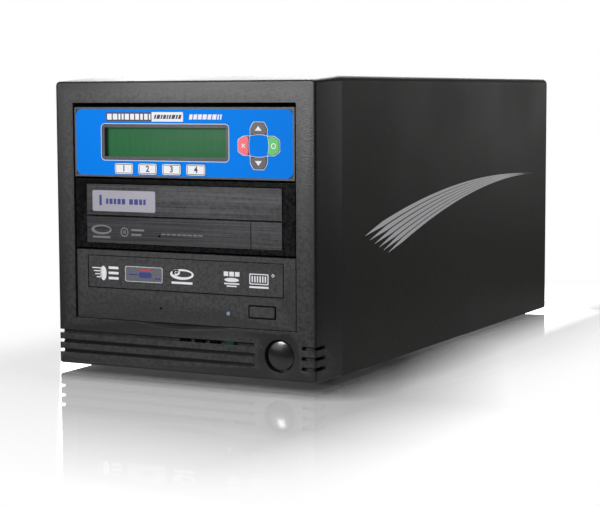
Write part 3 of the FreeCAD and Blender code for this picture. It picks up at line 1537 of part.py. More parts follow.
def main():
    """Write every part."""
    os.makedirs("parts", exist_ok=True)
    save("top_cover", top_cover())
    save("base_pan", base_pan())
    save("rear_panel", rear_panel())
    save("front_plate", front_plate())
    save("bay_brackets", [bay_bracket(-1), bay_bracket(1)])
    save("rubber_feet", rubber_feet())
    save("rear_screws", rear_screws())
    save("bay_screws", bay_screws())
    save("front_bezel", front_bezel())
    windows = [status_window(x) for x in lamp_places()]
    save("status_windows", windows[:-1])
    save("power_window", windows[-1])
    save("power_button", power_button())
    save("power_switch", power_switch())
    save("panel_face", panel_face())
    save("panel_overlay", panel_overlay())
    save("display_glass", display_glass())
    save("panel_board", panel_board())
    save("panel_carrier", panel_carrier())
    save("controller_board", controller_board())
    for name in key_names():
        save(name, key(name))
    save("master_bezel", master_face())
    save("master_plate", master_plate())
    save("master_tray_front", tray_front(master_z, master_door_bottom, master_door_height, fascia_proud))
    save("master_eject_button", eject_cap(master_z, *master_eject_place(), fascia_proud))
    save("writer_bezel", writer_face())
    save("writer_lamp", writer_lamp_pipe())
    save("writer_tray_front", tray_front(writer_z, writer_door_bottom, writer_door_height, 0))
    save("writer_eject_button", eject_cap(writer_z, *writer_eject, eject_proud))
    drive_inside("master", master_z)
    drive_inside("writer", writer_z)
    save("drive_boards", [drive_board(base_z) for base_z in (master_z, writer_z)])
    save("loading_motors", [loading_motor(base_z) for base_z in (master_z, writer_z)])
    save("psu_shell", psu_shell())
    save("power_inlet", power_inlet())
    save("rocker_case", rocker_case())
    save("psu_rocker", psu_rocker())
    supply_back = rear_face_y - sheet - psu_wall - fan_strut_thickness
    save("supply_fan_rotor", fan_rotor(psu_fan_x, supply_back, psu_z + psu_height / 2, supply_rotor_radius))
    save("case_fan_frame", case_fan_frame())
    case_back = rear_face_y - sheet - fan_strut_thickness
    save("case_fan_rotor", fan_rotor(case_fan_x, case_back, case_fan_z, case_rotor_radius))
    save("data_socket", data_socket())
    save("internal_leads", internal_leads())


main()
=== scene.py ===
"""Looks of a desktop disc duplicator: its finishes, prints, fasteners and the studio round it.

Every length is in metres, in the frame of the solids: +Z is up and the front faces -Y.
"""

import json
import logging
import math
import random
from dataclasses import dataclass
from enum import Enum
from typing import Callable, ClassVar, Iterable, Sequence

import bmesh
import bpy
from mathutils import Matrix, Vector

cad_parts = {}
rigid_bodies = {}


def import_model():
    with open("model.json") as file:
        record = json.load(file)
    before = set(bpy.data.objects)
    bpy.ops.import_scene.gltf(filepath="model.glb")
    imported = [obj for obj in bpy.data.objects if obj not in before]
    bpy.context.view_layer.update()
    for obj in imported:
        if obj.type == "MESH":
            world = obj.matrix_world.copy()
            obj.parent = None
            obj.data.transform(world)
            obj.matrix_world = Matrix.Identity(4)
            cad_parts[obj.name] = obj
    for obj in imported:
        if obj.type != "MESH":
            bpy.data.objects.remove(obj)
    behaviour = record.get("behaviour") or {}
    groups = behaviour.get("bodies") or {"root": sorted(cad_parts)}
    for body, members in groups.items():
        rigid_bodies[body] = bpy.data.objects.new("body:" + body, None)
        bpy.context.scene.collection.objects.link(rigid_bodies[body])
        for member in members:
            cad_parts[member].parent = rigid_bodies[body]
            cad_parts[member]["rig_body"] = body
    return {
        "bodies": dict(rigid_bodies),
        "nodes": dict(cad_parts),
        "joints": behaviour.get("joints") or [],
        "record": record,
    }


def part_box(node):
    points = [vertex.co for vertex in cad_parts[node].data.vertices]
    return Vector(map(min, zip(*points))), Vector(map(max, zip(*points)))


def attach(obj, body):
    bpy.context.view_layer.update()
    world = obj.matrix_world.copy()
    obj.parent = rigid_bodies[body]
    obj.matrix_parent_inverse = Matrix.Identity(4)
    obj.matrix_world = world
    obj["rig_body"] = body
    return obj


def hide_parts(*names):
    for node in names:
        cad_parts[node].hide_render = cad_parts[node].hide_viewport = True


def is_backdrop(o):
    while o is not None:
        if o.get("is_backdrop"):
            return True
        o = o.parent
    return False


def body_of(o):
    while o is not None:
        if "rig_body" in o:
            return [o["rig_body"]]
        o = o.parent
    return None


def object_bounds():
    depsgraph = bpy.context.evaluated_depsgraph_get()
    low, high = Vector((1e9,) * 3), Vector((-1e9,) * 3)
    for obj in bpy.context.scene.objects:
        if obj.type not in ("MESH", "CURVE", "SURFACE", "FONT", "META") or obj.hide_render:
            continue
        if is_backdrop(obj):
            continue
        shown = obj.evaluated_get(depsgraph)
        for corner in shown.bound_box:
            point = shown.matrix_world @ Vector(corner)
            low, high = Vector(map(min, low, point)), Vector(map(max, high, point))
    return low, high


LOG = logging.getLogger("tower")
PRINT_THICKNESS = 0.00005
PRINT_RISE = 0.00002
WELD = 0.000002
FACE_DEPTH = 0.0001
SMOOTH_ANGLE = math.radians(32)
FLAT_ANGLE = math.radians(0.5)
BEVEL_ANGLE = math.radians(38)
BOLD = 0.025
BLOCK_WIDTHS = (0.36, 0.95)
BLOCK_GAP = 0.24
BLOCK_END = 0.3
SCREEN_KNEE = 0.04045
SCREEN_SLOPE = 12.92
SCREEN_LIFT = 0.055
SCREEN_POWER = 2.4

Pair = tuple[float, float]
Triple = tuple[float, float, float]
Outline = list[Pair]
Ring = tuple[Outline, Outline]
Socket = bpy.types.NodeSocket
Tree = bpy.types.NodeTree
Piece = bpy.types.Object


class Facing(Enum):
    """The side that a flat shape is seen from: its across, up and depth directions."""

    FRONT = ((1, 0, 0), (0, 0, 1), (0, 1, 0))
    BACK = ((-1, 0, 0), (0, 0, 1), (0, -1, 0))
    RIGHT = ((0, 1, 0), (0, 0, 1), (-1, 0, 0))
    TOP = ((1, 0, 0), (0, 1, 0), (0, 0, -1))
    UNDER = ((1, 0, 0), (0, -1, 0), (0, 0, 1))

    def point(self, across: float, up: float, depth: float) -> Vector:
        """The place in the frame of a point on the flat shape."""
        x_way, z_way, y_way = (Vector(way) for way in self.value)
        return x_way * across + z_way * up + y_way * depth

    def matrix(self, across: float, up: float, depth: float) -> Matrix:
        """The transform that lays a shape from the XY plane on this side.

        Args:
            across: Place along the side.
            up: Height on the side.
            depth: Place along the way that the side looks in.

        Returns:
            The transform.
        """
        x_way, z_way, y_way = (Vector(way) for way in self.value)
        turn = Matrix((x_way, z_way, -y_way)).transposed().to_4x4()
        return Matrix.Translation(self.point(across, up, depth)) @ turn


class Texture(Enum):
    """The surface pattern of a finish."""

    MOULDED = "moulded"
    POWDER = "powder"
    BRUSHED = "brushed"
    POLISHED = "polished"
    SPANGLE = "spangle"
    WOVEN = "woven"


def linear(colour: Sequence[float]) -> tuple[float, float, float, float]:
    """A colour as the renderer adds it up.

    Args:
        colour: Red, green and blue as they look on a screen, from 0 to 255.

    Returns:
        Linear red, green, blue and an alpha of 1.
    """
    shares = [value / 255 for value in colour]
    parts = [share / SCREEN_SLOPE if share <= SCREEN_KNEE
             else ((share + SCREEN_LIFT) / (1 + SCREEN_LIFT)) ** SCREEN_POWER for share in shares]
    return parts[0], parts[1], parts[2], 1.0


def link(piece: Piece) -> Piece:
    """Puts a new object in the scene."""
    bpy.context.scene.collection.objects.link(piece)
    return piece


def evaluated_mesh(piece: Piece) -> bpy.types.Mesh:
    """A plain mesh of an object as its modifiers leave it."""
    bpy.context.view_layer.update()
    return bpy.data.meshes.new_from_object(piece.evaluated_get(bpy.context.evaluated_depsgraph_get()))


class Wiring:
    """Adds nodes to a node tree and joins them."""

    def __init__(self, tree: Tree) -> None:
        """Keeps the tree."""
        self.tree = tree

    def add(self, kind: str, feeds: dict | None = None, **settings: object) -> bpy.types.Node:
        """Adds a node.

        Args:
            kind: The node's type.
            feeds: A socket or plain value for each of its inputs, by name or number.
            **settings: Values of the node's own properties.

        Returns:
            The node.
        """
        node = self.tree.nodes.new(kind)
        for key, value in settings.items():
            setattr(node, key, value)
        for key, value in (feeds or {}).items():
            self.feed(node.inputs[key], value)
        return node

    def feed(self, target: Socket, value: object) -> None:
        """Joins a socket to an input, or sets the input's value.

        Args:
            target: The input.
            value: A socket or a plain value.
        """
        if isinstance(value, Socket):
            self.tree.links.new(value, target)
        else:
            target.default_value = value

    def math(self, operation: str, first: object, second: object = 0.0) -> Socket:
        """The result of a Math node on two sockets or numbers."""
        return self.add("ShaderNodeMath", {0: first, 1: second}, operation=operation).outputs[0]

    def times(self, first: object, second: object) -> Socket:
        """The product of two sockets or numbers."""
        return self.math("MULTIPLY", first, second)

    def plus(self, first: object, second: object) -> Socket:
        """The sum of two sockets or numbers."""
        return self.math("ADD", first, second)

    def less(self, first: object, second: object) -> Socket:
        """The first socket or number less the second."""
        return self.math("SUBTRACT", first, second)

    def most(self, first: object, second: object) -> Socket:
        """The larger of two sockets or numbers."""
        return self.math("MAXIMUM", first, second)

    def length(self, sides: Sequence[Socket]) -> Socket:
        """The length of a line from its two sides."""
        return self.math("SQRT", self.plus(*[self.times(side, side) for side in sides]))

    def scaled(self, vector: Socket, factors: object) -> Socket:
        """A vector times a vector or a number.

        Args:
            vector: The vector's socket.
            factors: Three numbers, or a socket that holds one number.

        Returns:
            The product's socket.
        """
        single = isinstance(factors, Socket)
        return self.add("ShaderNodeVectorMath", {0: vector, "Scale" if single else 1: factors},
                        operation="SCALE" if single else "MULTIPLY").outputs[0]

    def blend(self, share: object, first: object, second: object) -> Socket:
        """A mix of two colours, by the share of the second one."""
        return self.add("ShaderNodeMix", {0: share, 6: first, 7: second}, data_type="RGBA").outputs[2]

    def remap(self, value: object, low: float, high: float, start: float = 0.0,
              end: float = 1.0) -> Socket:
        """A value moved from one range to another, smoothly and clamped.

        Args:
            value: The value's socket.
            low: Start of the range that it comes from.
            high: End of that range.
            start: What the low end becomes.
            end: What the high end becomes.

        Returns:
            The result's socket.
        """
        feeds = {"From Min": low, "From Max": high, "To Min": start, "To Max": end, "Value": value}
        return self.add("ShaderNodeMapRange", feeds, interpolation_type="SMOOTHSTEP").outputs["Result"]

    def split(self, vector: Socket) -> bpy.types.NodeOutputs:
        """The X, Y and Z of a vector."""
        return self.add("ShaderNodeSeparateXYZ", {0: vector}).outputs

    def joined(self, **axes: object) -> Socket:
        """A vector from its X, Y and Z."""
        return self.add("ShaderNodeCombineXYZ", axes).outputs[0]

    def turned(self, **axes: object) -> Socket:
        """A rotation from its angles about X, Y and Z."""
        return self.add("FunctionNodeEulerToRotation", {0: self.joined(**axes)}).outputs[0]

    def noise(self, place: Socket, detail: float) -> Socket:
        """A noise from 0 to 1 of about one blob to a unit, with so many finer layers."""
        feeds = {"Scale": 1.0, "Detail": detail, "Vector": place}
        return self.add("ShaderNodeTexNoise", feeds).outputs["Fac"]


class Effects:
    """The shader groups that the finishes share, each built once."""

    PIT_SMOOTHNESS: ClassVar[float] = 0.6
    PIT_NOISE: ClassVar[float] = 0.5
    PIT_SHADES: ClassVar[Pair] = (0.4, 1.1)
    LUMP_SHADES: ClassVar[Pair] = (0.35, 0.65)
    FINE_LINES: ClassVar[Triple] = (0.012, 1.0, 1.0)
    LONG_LINES: ClassVar[Triple] = (0.003, 0.3, 0.3)
    LINE_SHARES: ClassVar[Pair] = (0.7, 0.3)
    LINE_SHADES: ClassVar[Pair] = (0.36, 0.64)
    WAVES: ClassVar[Triple] = (0.2, 0.2, 0.2)
    ZINC_FROST: ClassVar[Triple] = (4.0, 4.0, 4.0)
    TRACKS: ClassVar[Triple] = (0.1, 0.6, 1.0)
    TRACK_SHADES: ClassVar[Pair] = (0.47, 0.53)
    BLOT_SHADES: ClassVar[Pair] = (0.3, 0.7)
    SPECK_SHADES: ClassVar[Triple] = (0.5, 0.8, 0.15)
    UPWARD: ClassVar[Pair] = (0.2, 1.0)
    # Edge lightening: rubbed wear, and a painted highlight along the edges.
    RUBBED_EDGES: ClassVar[Pair] = (0.52, 0.6)
    RUBBED_BREAKS: ClassVar[Triple] = (0.35, 0.6, 0.2)

    def __init__(self) -> None:
        """Starts with no group."""
        self.groups: dict[str, Tree] = {}

    def group(self, name: str) -> Tree:
        """The group of that name, built when it is first asked for.

        Args:
            name: A texture's value, or one of blotches, dust and the lighter edges, which stand for
                rubbed wear and a painted edge highlight.

        Returns:
            The group, with Height and Shade outputs.
        """
        if name not in self.groups:
            tree = bpy.data.node_groups.new(name, "ShaderNodeTree")
            for label, way, kind in (("Vector", "INPUT", "Vector"), ("Size", "INPUT", "Float"),
                                     ("Height", "OUTPUT", "Float"), ("Shade", "OUTPUT", "Float")):
                tree.interface.new_socket(label, in_out=way, socket_type="NodeSocket" + kind)
            wires = Wiring(tree)
            given = wires.add("NodeGroupInput").outputs
            place = wires.scaled(given["Vector"], wires.math("DIVIDE", 1.0, given["Size"]))
            height, shade = getattr(self, "_" + name)(wires, place)
            wires.add("NodeGroupOutput", {"Height": height, "Shade": shade})
            self.groups[name] = tree
        return self.groups[name]

    def _moulded(self, wires: Wiring, place: Socket) -> tuple:
        """The spark-eroded grain of moulded plastic: rounded pits of one size.

        Args:
            wires: The group's tree.
            place: Where it is read, in its own sizes.

        Returns:
            The height and the shade.
        """
        feeds = {"Scale": 1.0, "Smoothness": self.PIT_SMOOTHNESS, "Vector": place}
        pits = wires.add("ShaderNodeTexVoronoi", feeds, feature="SMOOTH_F1")
        fine = wires.times(wires.noise(place, 3.0), self.PIT_NOISE)
        height = wires.plus(pits.outputs["Distance"], fine)
        return height, wires.remap(height, *self.PIT_SHADES)

    def _powder(self, wires: Wiring, place: Socket) -> tuple:
        """The small even bumps of a powder coat.

        Args:
            wires: The group's tree.
            place: Where it is read, in its own sizes.

        Returns:
            The height and the shade.
        """
        lumps = wires.noise(place, 2.0)
        return lumps, wires.remap(lumps, *self.LUMP_SHADES)

    def _brushed(self, wires: Wiring, place: Socket) -> tuple:
        """Long fine lines along X, in two lengths.

        Args:
            wires: The group's tree.
            place: Where it is read, in its own sizes.

        Returns:
            The height and the shade.
        """
        lines = [wires.noise(wires.scaled(place, self.FINE_LINES), 3.0),
                 wires.noise(wires.scaled(place, self.LONG_LINES), 1.0)]
        height = wires.plus(*[wires.times(*pair) for pair in zip(lines, self.LINE_SHARES)])
        return height, wires.remap(height, *self.LINE_SHADES)

    def _polished(self, wires: Wiring, place: Socket) -> tuple:
        """The faint waviness of a gloss moulding."""
        wave = wires.noise(wires.scaled(place, self.WAVES), 1.0)
        return wave, wave

    def _spangle(self, wires: Wiring, place: Socket) -> tuple:
        """The crystals of zinc on steel.

        Args:
            wires: The group's tree.
            place: Where it is read, in its own sizes.

        Returns:
            The height and the shade.
        """
        cells = wires.add("ShaderNodeTexVoronoi", {"Scale": 1.0, "Vector": place})
        grey = wires.add("ShaderNodeSeparateColor", {0: cells.outputs["Color"]})
        return wires.noise(wires.scaled(place, self.ZINC_FROST), 3.0), grey.outputs[0]

    def _woven(self, wires: Wiring, place: Socket) -> tuple:
        """The crossed strands of a board's glass cloth and its tracks.

        Args:
            wires: The group's tree.
            place: Where it is read, in its own sizes.

        Returns:
            The height and the shade.
        """
        parts = wires.split(place)
        strands = [wires.math("SINE", wires.times(parts[axis], math.tau)) for axis in ("X", "Y")]
        tracks = wires.noise(wires.scaled(place, self.TRACKS), 2.0)
        return wires.times(*strands), wires.remap(tracks, *self.TRACK_SHADES)

    def _blotches(self, wires: Wiring, place: Socket) -> tuple:
        """Wide soft blotches, as handling leaves."""
        blot = wires.noise(place, 4.0)
        return blot, wires.remap(blot, *self.BLOT_SHADES)

    def _dust(self, wires: Wiring, place: Socket) -> tuple:
        """Fine dust on faces that look up.

        Args:
            wires: The group's tree.
            place: Where it is read, in its own sizes.

        Returns:
            The height and the shade.
        """
        specks = wires.noise(place, 5.0)
        way = wires.split(wires.add("ShaderNodeNewGeometry").outputs["Normal"])
        upward = wires.remap(way["Z"], *self.UPWARD)
        return specks, wires.times(wires.remap(specks, *self.SPECK_SHADES), upward)

    def _rub(self, wires: Wiring, place: Socket) -> tuple:
        """Where corners and edges are a little lighter: rubbed wear, and a painted highlight along the
        edges.

        Args:
            wires: The group's tree.
            place: Where it is read, in its own sizes.

        Returns:
            The height and the shade.
        """
        pointed = wires.add("ShaderNodeNewGeometry").outputs["Pointiness"]
        edge = wires.remap(pointed, *self.RUBBED_EDGES)
        broken = wires.noise(place, 3.0)
        return broken, wires.times(edge, wires.remap(broken, *self.RUBBED_BREAKS))


@dataclass(frozen=True)
class Finish:
    """How one material looks: its colour, its gloss and its pattern."""

    name: str
    colour: Triple
    texture: Texture = Texture.MOULDED
    roughness: float = 0.5
    metallic: float = 0.0
    specular: float = 0.5
    coat: float = 0.0
    coat_roughness: float = 0.08
    size: float = 0.0005
    bump: float = 0.00001
    variation: float = 0.08
    dust: float = 0.06
    # How much the edges are lightened: rubbed wear, and a painted highlight along them.
    rub: float = 0.04
    handling: float = 0.05
    glow: float = 0.0
    record_slot: str = ""
    blotch_size: ClassVar[float] = 0.06
    dust_size: ClassVar[float] = 0.004
    rub_size: ClassVar[float] = 0.002
    dust_dulls: ClassVar[float] = 0.6
    # The pale grey that edges are lightened towards: rubbed wear and a painted edge highlight.
    worn_colour: ClassVar[Triple] = (205, 205, 205)
    dust_colour: ClassVar[Triple] = (170, 166, 160)

    @property
    def slot(self) -> str:
        """The record's slot: the finish's own name, unless it borrows another's."""
        return self.record_slot or self.name

    def build(self, effects: Effects) -> bpy.types.Material:
        """Makes the material.

        Args:
            effects: The shared shader groups.

        Returns:
            The material.
        """
        material = bpy.data.materials.new(self.name)
        material.use_nodes = True
        wires = Wiring(material.node_tree)
        groups = (("blotches", self.blotch_size), ("dust", self.dust_size), ("rub", self.rub_size))
        blotch, dust, rub = [self._placed(wires, effects.group(name), size)["Shade"]
                             for name, size in groups]
        pattern = self._placed(wires, effects.group(self.texture.value), self.size)
        base = linear(self.colour)[:3]
        dark = tuple(value * (1 - self.variation) for value in base) + (1.0,)
        light = tuple(min(1.0, value * (1 + self.variation)) for value in base) + (1.0,)
        colour = wires.blend(pattern["Shade"], dark, light)
        # Lightens the edges towards pale grey: a painted highlight, and rubbed wear.
        colour = wires.blend(wires.times(rub, self.rub), colour, linear(self.worn_colour))
        dusty = wires.times(dust, self.dust)
        colour = wires.blend(dusty, colour, linear(self.dust_colour))
        rough = wires.plus(wires.times(wires.less(blotch, 0.5), self.handling), self.roughness)
        feeds = {"Strength": 1.0, "Distance": self.bump, "Height": pattern["Height"]}
        normal = wires.add("ShaderNodeBump", feeds).outputs["Normal"]
        rough = wires.plus(rough, wires.times(dusty, self.dust_dulls))
        feeds = {"Base Color": colour, "Roughness": rough, "Normal": normal,
                 "Metallic": self.metallic, "Specular IOR Level": self.specular,
                 "Coat Weight": self.coat, "Coat Roughness": self.coat_roughness}
        if self.glow:
            feeds |= {"Emission Color": colour, "Emission Strength": self.glow}
        surface = material.node_tree.nodes["Principled BSDF"]
        for label, value in feeds.items():
            wires.feed(surface.inputs[label], value)
        return material

    @staticmethod
    def _placed(wires: Wiring, tree: Tree, size: float) -> bpy.types.NodeOutputs:
        """The outputs of a shared group, put in the material with its pattern's size."""
        place = wires.add("ShaderNodeTexCoord").outputs["Object"]
        return wires.add("ShaderNodeGroup", {"Vector": place, "Size": size}, node_tree=tree).outputs


def ink(name: str, colour: Triple, slot: str, variation: float = 0.04,
        **others: float) -> Finish:
    """A print's finish.

    Args:
        name: Its name.
        colour: Its colour.
        slot: The record's slot that it borrows.
        variation: How uneven it is.
        **others: Other fields of the finish.

    Returns:
        The finish.
    """
    values = {"size": 0.0002, "bump": 0.000002, "dust": 0.0, "rub": 0.0} | others
    return Finish(name, colour, Texture.POWDER, variation=variation, record_slot=slot, **values)


POWDER_COAT = Finish("powder_coat", (34, 33, 30), Texture.POWDER, 0.5, specular=0.32, size=0.0008,
                     bump=0.00004, variation=0.22, dust=0.02)
BARE_STEEL = Finish("zinc_steel", (166, 168, 170), Texture.SPANGLE, 0.36, metallic=1.0, size=0.006,
                    bump=0.000004, variation=0.1)
BLACK_SCREW = Finish("black_screw", (36, 36, 39), Texture.POLISHED, 0.34, metallic=0.7, variation=0.1)
BEZEL = Finish("bezel_plastic", (32, 31, 33), roughness=0.4, size=0.0008, bump=0.00005, variation=0.24,
               dust=0.02)
RUBBER = Finish("rubber", (27, 27, 28), roughness=0.82, specular=0.3, size=0.0003)
# The unlit lamp windows; also the painted shadow round the writer's eject button.
DARK_WINDOW_AND_PAINTED_SHADE = Finish("dark_window", (3, 3, 3), Texture.POLISHED, 0.4, specular=0.04, dust=0.0, rub=0.0)
GREEN_WINDOW = Finish("green_window", (14, 56, 36), Texture.POLISHED, 0.35, specular=0.2, dust=0.0,
                      rub=0.0, glow=0.1)
BUTTON = Finish("button_gloss", (20, 21, 22), Texture.POLISHED, 0.24, coat=1.0, coat_roughness=0.16,
                bump=0.000004, rub=0.0)
OVERLAY = Finish("overlay_blue", (1, 122, 228), Texture.POWDER, 0.5, specular=0.04, size=0.0004,
                 bump=0.000004, variation=0.03, dust=0.0, rub=0.0)
PANEL = Finish("panel_plastic", (62, 62, 67), roughness=0.46, size=0.0004, bump=0.000012)
PALE_INK = ink("pale_ink", (206, 208, 214), "key_white", 0.03)
WHITE_INK = ink("white_ink", (226, 226, 230), "key_white")
SIDE_INK = ink("side_ink", (214, 211, 214), "key_white", specular=0.3, size=0.0004)
GREY_INK = ink("grey_ink", (112, 111, 115), "key_dark", 0.05)
NAVY_INK = ink("navy_ink", (46, 54, 128), "key_dark")
RED_INK = ink("red_ink", (186, 44, 54), "key_red")
# A dark print; also painted shade in the gaps round the keys and on the mode keys' caps.
DARK_INK_AND_PAINTED_SHADE = ink("dark_ink", (44, 46, 58), "key_dark")
DISPLAY = Finish("display_glass", (44, 108, 66), Texture.POLISHED, 0.16, coat=0.35, variation=0.05,
                 bump=0.0, dust=0.0, rub=0.0)
CELL = Finish("display_cell", (41, 101, 61), Texture.POLISHED, 0.2, variation=0.04, dust=0.0, rub=0.0,
              record_slot="display_glass")
KEY_WHITE = Finish("key_white", (228, 229, 234), roughness=0.4, size=0.0003, bump=0.000004,
                   variation=0.02, dust=0.0, rub=0.0)
KEY_DARK = Finish("key_dark", (80, 80, 88), roughness=0.42, size=0.0003, bump=0.000006, rub=0.0)
KEY_RED = Finish("key_red", (238, 92, 108), roughness=0.4, size=0.0003, bump=0.000004, variation=0.03,
                 rub=0.0)
KEY_GREEN = Finish("key_green", (78, 190, 92), roughness=0.4, size=0.0003, bump=0.000004,
                   variation=0.03, rub=0.0)
GLOSS = Finish("gloss_black", (7, 7, 8), Texture.POLISHED, 0.18, specular=0.2, coat=0.05, bump=0.000003,
               rub=0.02)
BRUSHED = Finish("brushed_black", (60, 59, 62), Texture.BRUSHED, 0.36, metallic=0.5, size=0.0006,
                 bump=0.000014, variation=0.42, dust=0.02)
DRIVE = Finish("drive_plastic", (46, 46, 47), specular=0.3, size=0.0008, bump=0.00004, variation=0.22)
LAMP = Finish("lamp_clear", (120, 148, 172), Texture.POLISHED, 0.12, coat=0.8, dust=0.0)
TRAY = Finish("tray_plastic", (34, 34, 35), size=0.0004)
LOADER = Finish("loader_plastic", (46, 47, 49), roughness=0.55)
GEAR = Finish("gear_plastic", (222, 219, 208), roughness=0.45, size=0.0003, bump=0.000004,
              variation=0.03)
MOTOR = Finish("motor_steel", (150, 151, 153), Texture.BRUSHED, 0.32, metallic=1.0, size=0.0004)
BOARD = Finish("board_green", (24, 74, 46), Texture.WOVEN, 0.4, size=0.0012, bump=0.000006,
               variation=0.3)
CONNECTOR = Finish("connector_black", (26, 26, 27), size=0.0003)
FAN = Finish("fan_black", (30, 30, 31), roughness=0.45, size=0.0004, bump=0.000008)
LEAD = Finish("lead_black", (22, 22, 23), roughness=0.4, size=0.0003)
SILVER_LABEL = Finish("silver_label", (160, 158, 168), roughness=0.45, metallic=0.2, size=0.0004,
                      bump=0.000004, dust=0.0, rub=0.0, record_slot="zinc_steel")
BADGE = Finish("badge_silver", (132, 134, 142), Texture.BRUSHED, 0.3, metallic=0.6, size=0.0003,
               variation=0.15, dust=0.0, rub=0.0, record_slot="zinc_steel")


class Shaper:
    """Makes plain meshes, closed and with their faces outwards."""

    @staticmethod
    def made(name: str, work: bmesh.types.BMesh, smooth: bool) -> Piece:
        """Turns a working mesh into an object in the scene.

        Args:
            name: The object's name.
            work: The working mesh, which is freed.
            smooth: True for a curved piece whose faces shade as one.

        Returns:
            The object.
        """
        mesh = bpy.data.meshes.new(name)
        work.to_mesh(mesh)
        work.free()
        if smooth:
            mesh.polygons.foreach_set("use_smooth", [True] * len(mesh.polygons))
            mesh.set_sharp_from_angle(angle=SMOOTH_ANGLE)
        return link(bpy.data.objects.new(name, mesh))

    @classmethod
    def settle(cls, name: str, work: bmesh.types.BMesh, smooth: bool = False) -> Piece:
        """Welds a working mesh, turns its faces outwards and makes its object.

        Args:
            name: The object's name.
            work: The working mesh, which is freed.
            smooth: True for a curved piece whose faces shade as one.

        Returns:
            The object.
        """
        bmesh.ops.remove_doubles(work, verts=work.verts, dist=WELD / 4)
        bmesh.ops.recalc_face_normals(work, faces=work.faces)
        return cls.made(name, work, smooth)

    @staticmethod
    def skin(work: bmesh.types.BMesh, loops: Sequence[Sequence[bmesh.types.BMVert]]) -> None:
        """Joins each loop of points to the next one with faces.

        Args:
            work: The working mesh.
            loops: The loops, each with as many points.
        """
        for first, second in zip(loops, loops[1:]):
            for index in range(len(first)):
                after = (index + 1) % len(first)
                work.faces.new((first[index], first[after], second[after], second[index]))

    @classmethod
    def flat(cls, name: str, shapes: Iterable[Outline | Ring], facing: Facing, near: float,
             thickness: float = PRINT_THICKNESS) -> Piece:
        """Flat plates and rings of one thickness.

        Args:
            name: The object's name.
            shapes: A plate's outline, or the outer and inner outline of a ring.
            facing: The side that they are seen from.
            near: Depth of the face that is seen.
            thickness: How thick they are.

        Returns:
            The object that holds them all.
        """
        work = bmesh.new()
        far = near + thickness
        for shape in shapes:
            ring = len(shape) == 2
            sides = ([(shape[0], near), (shape[1], near), (shape[1], far), (shape[0], far)] if ring
                     else [(shape, near), (shape, far)])
            loops = [[work.verts.new(facing.point(a, u, depth)) for a, u in outline]
                     for outline, depth in sides]
            if ring:
                loops.append(loops[0])
            else:
                work.faces.new(loops[0])
                work.faces.new(list(reversed(loops[1])))
                loops.reverse()
            cls.skin(work, loops)
        return cls.settle(name, work)

    @classmethod
    def lathe(cls, name: str, profile: Sequence[Pair], place: Sequence[float],
              facing: Facing, steps: int = 48) -> Piece:
        """A round piece, turned about the line that the side is looked along.

        Args:
            name: The object's name.
            profile: Radius and depth pairs, from the middle of the near face to the far one.
            place: Across, up and depth of its middle.
            facing: The side that it is seen from.
            steps: How many faces go round it.

        Returns:
            The object.
        """
        work = bmesh.new()
        turns = [(math.cos(math.tau * step / steps), math.sin(math.tau * step / steps))
                 for step in range(steps)]
        loops = [[work.verts.new(facing.point(place[0] + radius * a, place[1] + radius * u,
                                              place[2] + depth)) for a, u in turns]
                 for radius, depth in profile]
        cls.skin(work, loops)
        bmesh.ops.remove_doubles(work, verts=work.verts, dist=WELD / 4)
        work.faces.ensure_lookup_table()
        empty = [face for face in work.faces if face.calc_area() < WELD ** 2]
        bmesh.ops.delete(work, geom=empty, context="FACES_ONLY")
        return cls.settle(name, work, smooth=True)

    @staticmethod
    def words(name: str, text: str, size: float, place: Sequence[float], near: float,
              weight: float = BOLD) -> Piece:
        """Plain characters that face the front, as a thin mesh.

        Args:
            name: The object's name.
            text: The characters.
            size: Their height in the font.
            place: Across and up of their middle.
            near: Depth of the face that is seen.
            weight: How much bolder the strokes are than the font's own, as a share of the height.

        Returns:
            The object.
        """
        curve = bpy.data.curves.new(name, "FONT")
        curve.body = text
        curve.size = size
        curve.align_x = "CENTER"
        curve.align_y = "CENTER"
        curve.offset = size * weight
        curve.extrude = PRINT_THICKNESS / 2
        source = link(bpy.data.objects.new(name + "_curve", curve))
        mesh = evaluated_mesh(source)
        mesh.transform(Facing.FRONT.matrix(*place, near + PRINT_THICKNESS / 2))
        bpy.data.objects.remove(source)
        work = bmesh.new()
        work.from_mesh(mesh)
        bpy.data.meshes.remove(mesh)
        return Shaper.settle(name, work)

    @staticmethod
    def merged(name: str, pieces: Sequence[Piece]) -> Piece:
        """One object made of several, which are removed.

        Args:
            name: The new object's name.
            pieces: The objects to join.

        Returns:
            The new object.
        """
        work = bmesh.new()
        for piece in pieces:
            work.from_mesh(piece.data)
            bpy.data.objects.remove(piece)
        return Shaper.settle(name, work, smooth=True)

    @staticmethod
    def softened(node: Piece, width: float, segments: int) -> Piece:
        """A copy of a solid's mesh, welded, smooth where it curves, with its edges rounded.

        Args:
            node: The solid's own object, which is left as it is.
            width: How wide the rounding of its edges is.
            segments: How many faces go round an edge.

        Returns:
            The copy.
        """
        work = bmesh.new()
        work.from_mesh(node.data)
        bmesh.ops.remove_doubles(work, verts=work.verts, dist=WELD)
        bmesh.ops.dissolve_limit(work, angle_limit=FLAT_ANGLE, verts=work.verts, edges=work.edges)
        piece = Shaper.made(node.name + "_finished", work, True)
        if width:
            bevel = piece.modifiers.new("edges", "BEVEL")
            bevel.width = width
            bevel.segments = segments
            bevel.limit_method = "ANGLE"
            bevel.angle_limit = BEVEL_ANGLE
            bevel.harden_normals = True
            bevel.use_clamp_overlap = True
        return piece


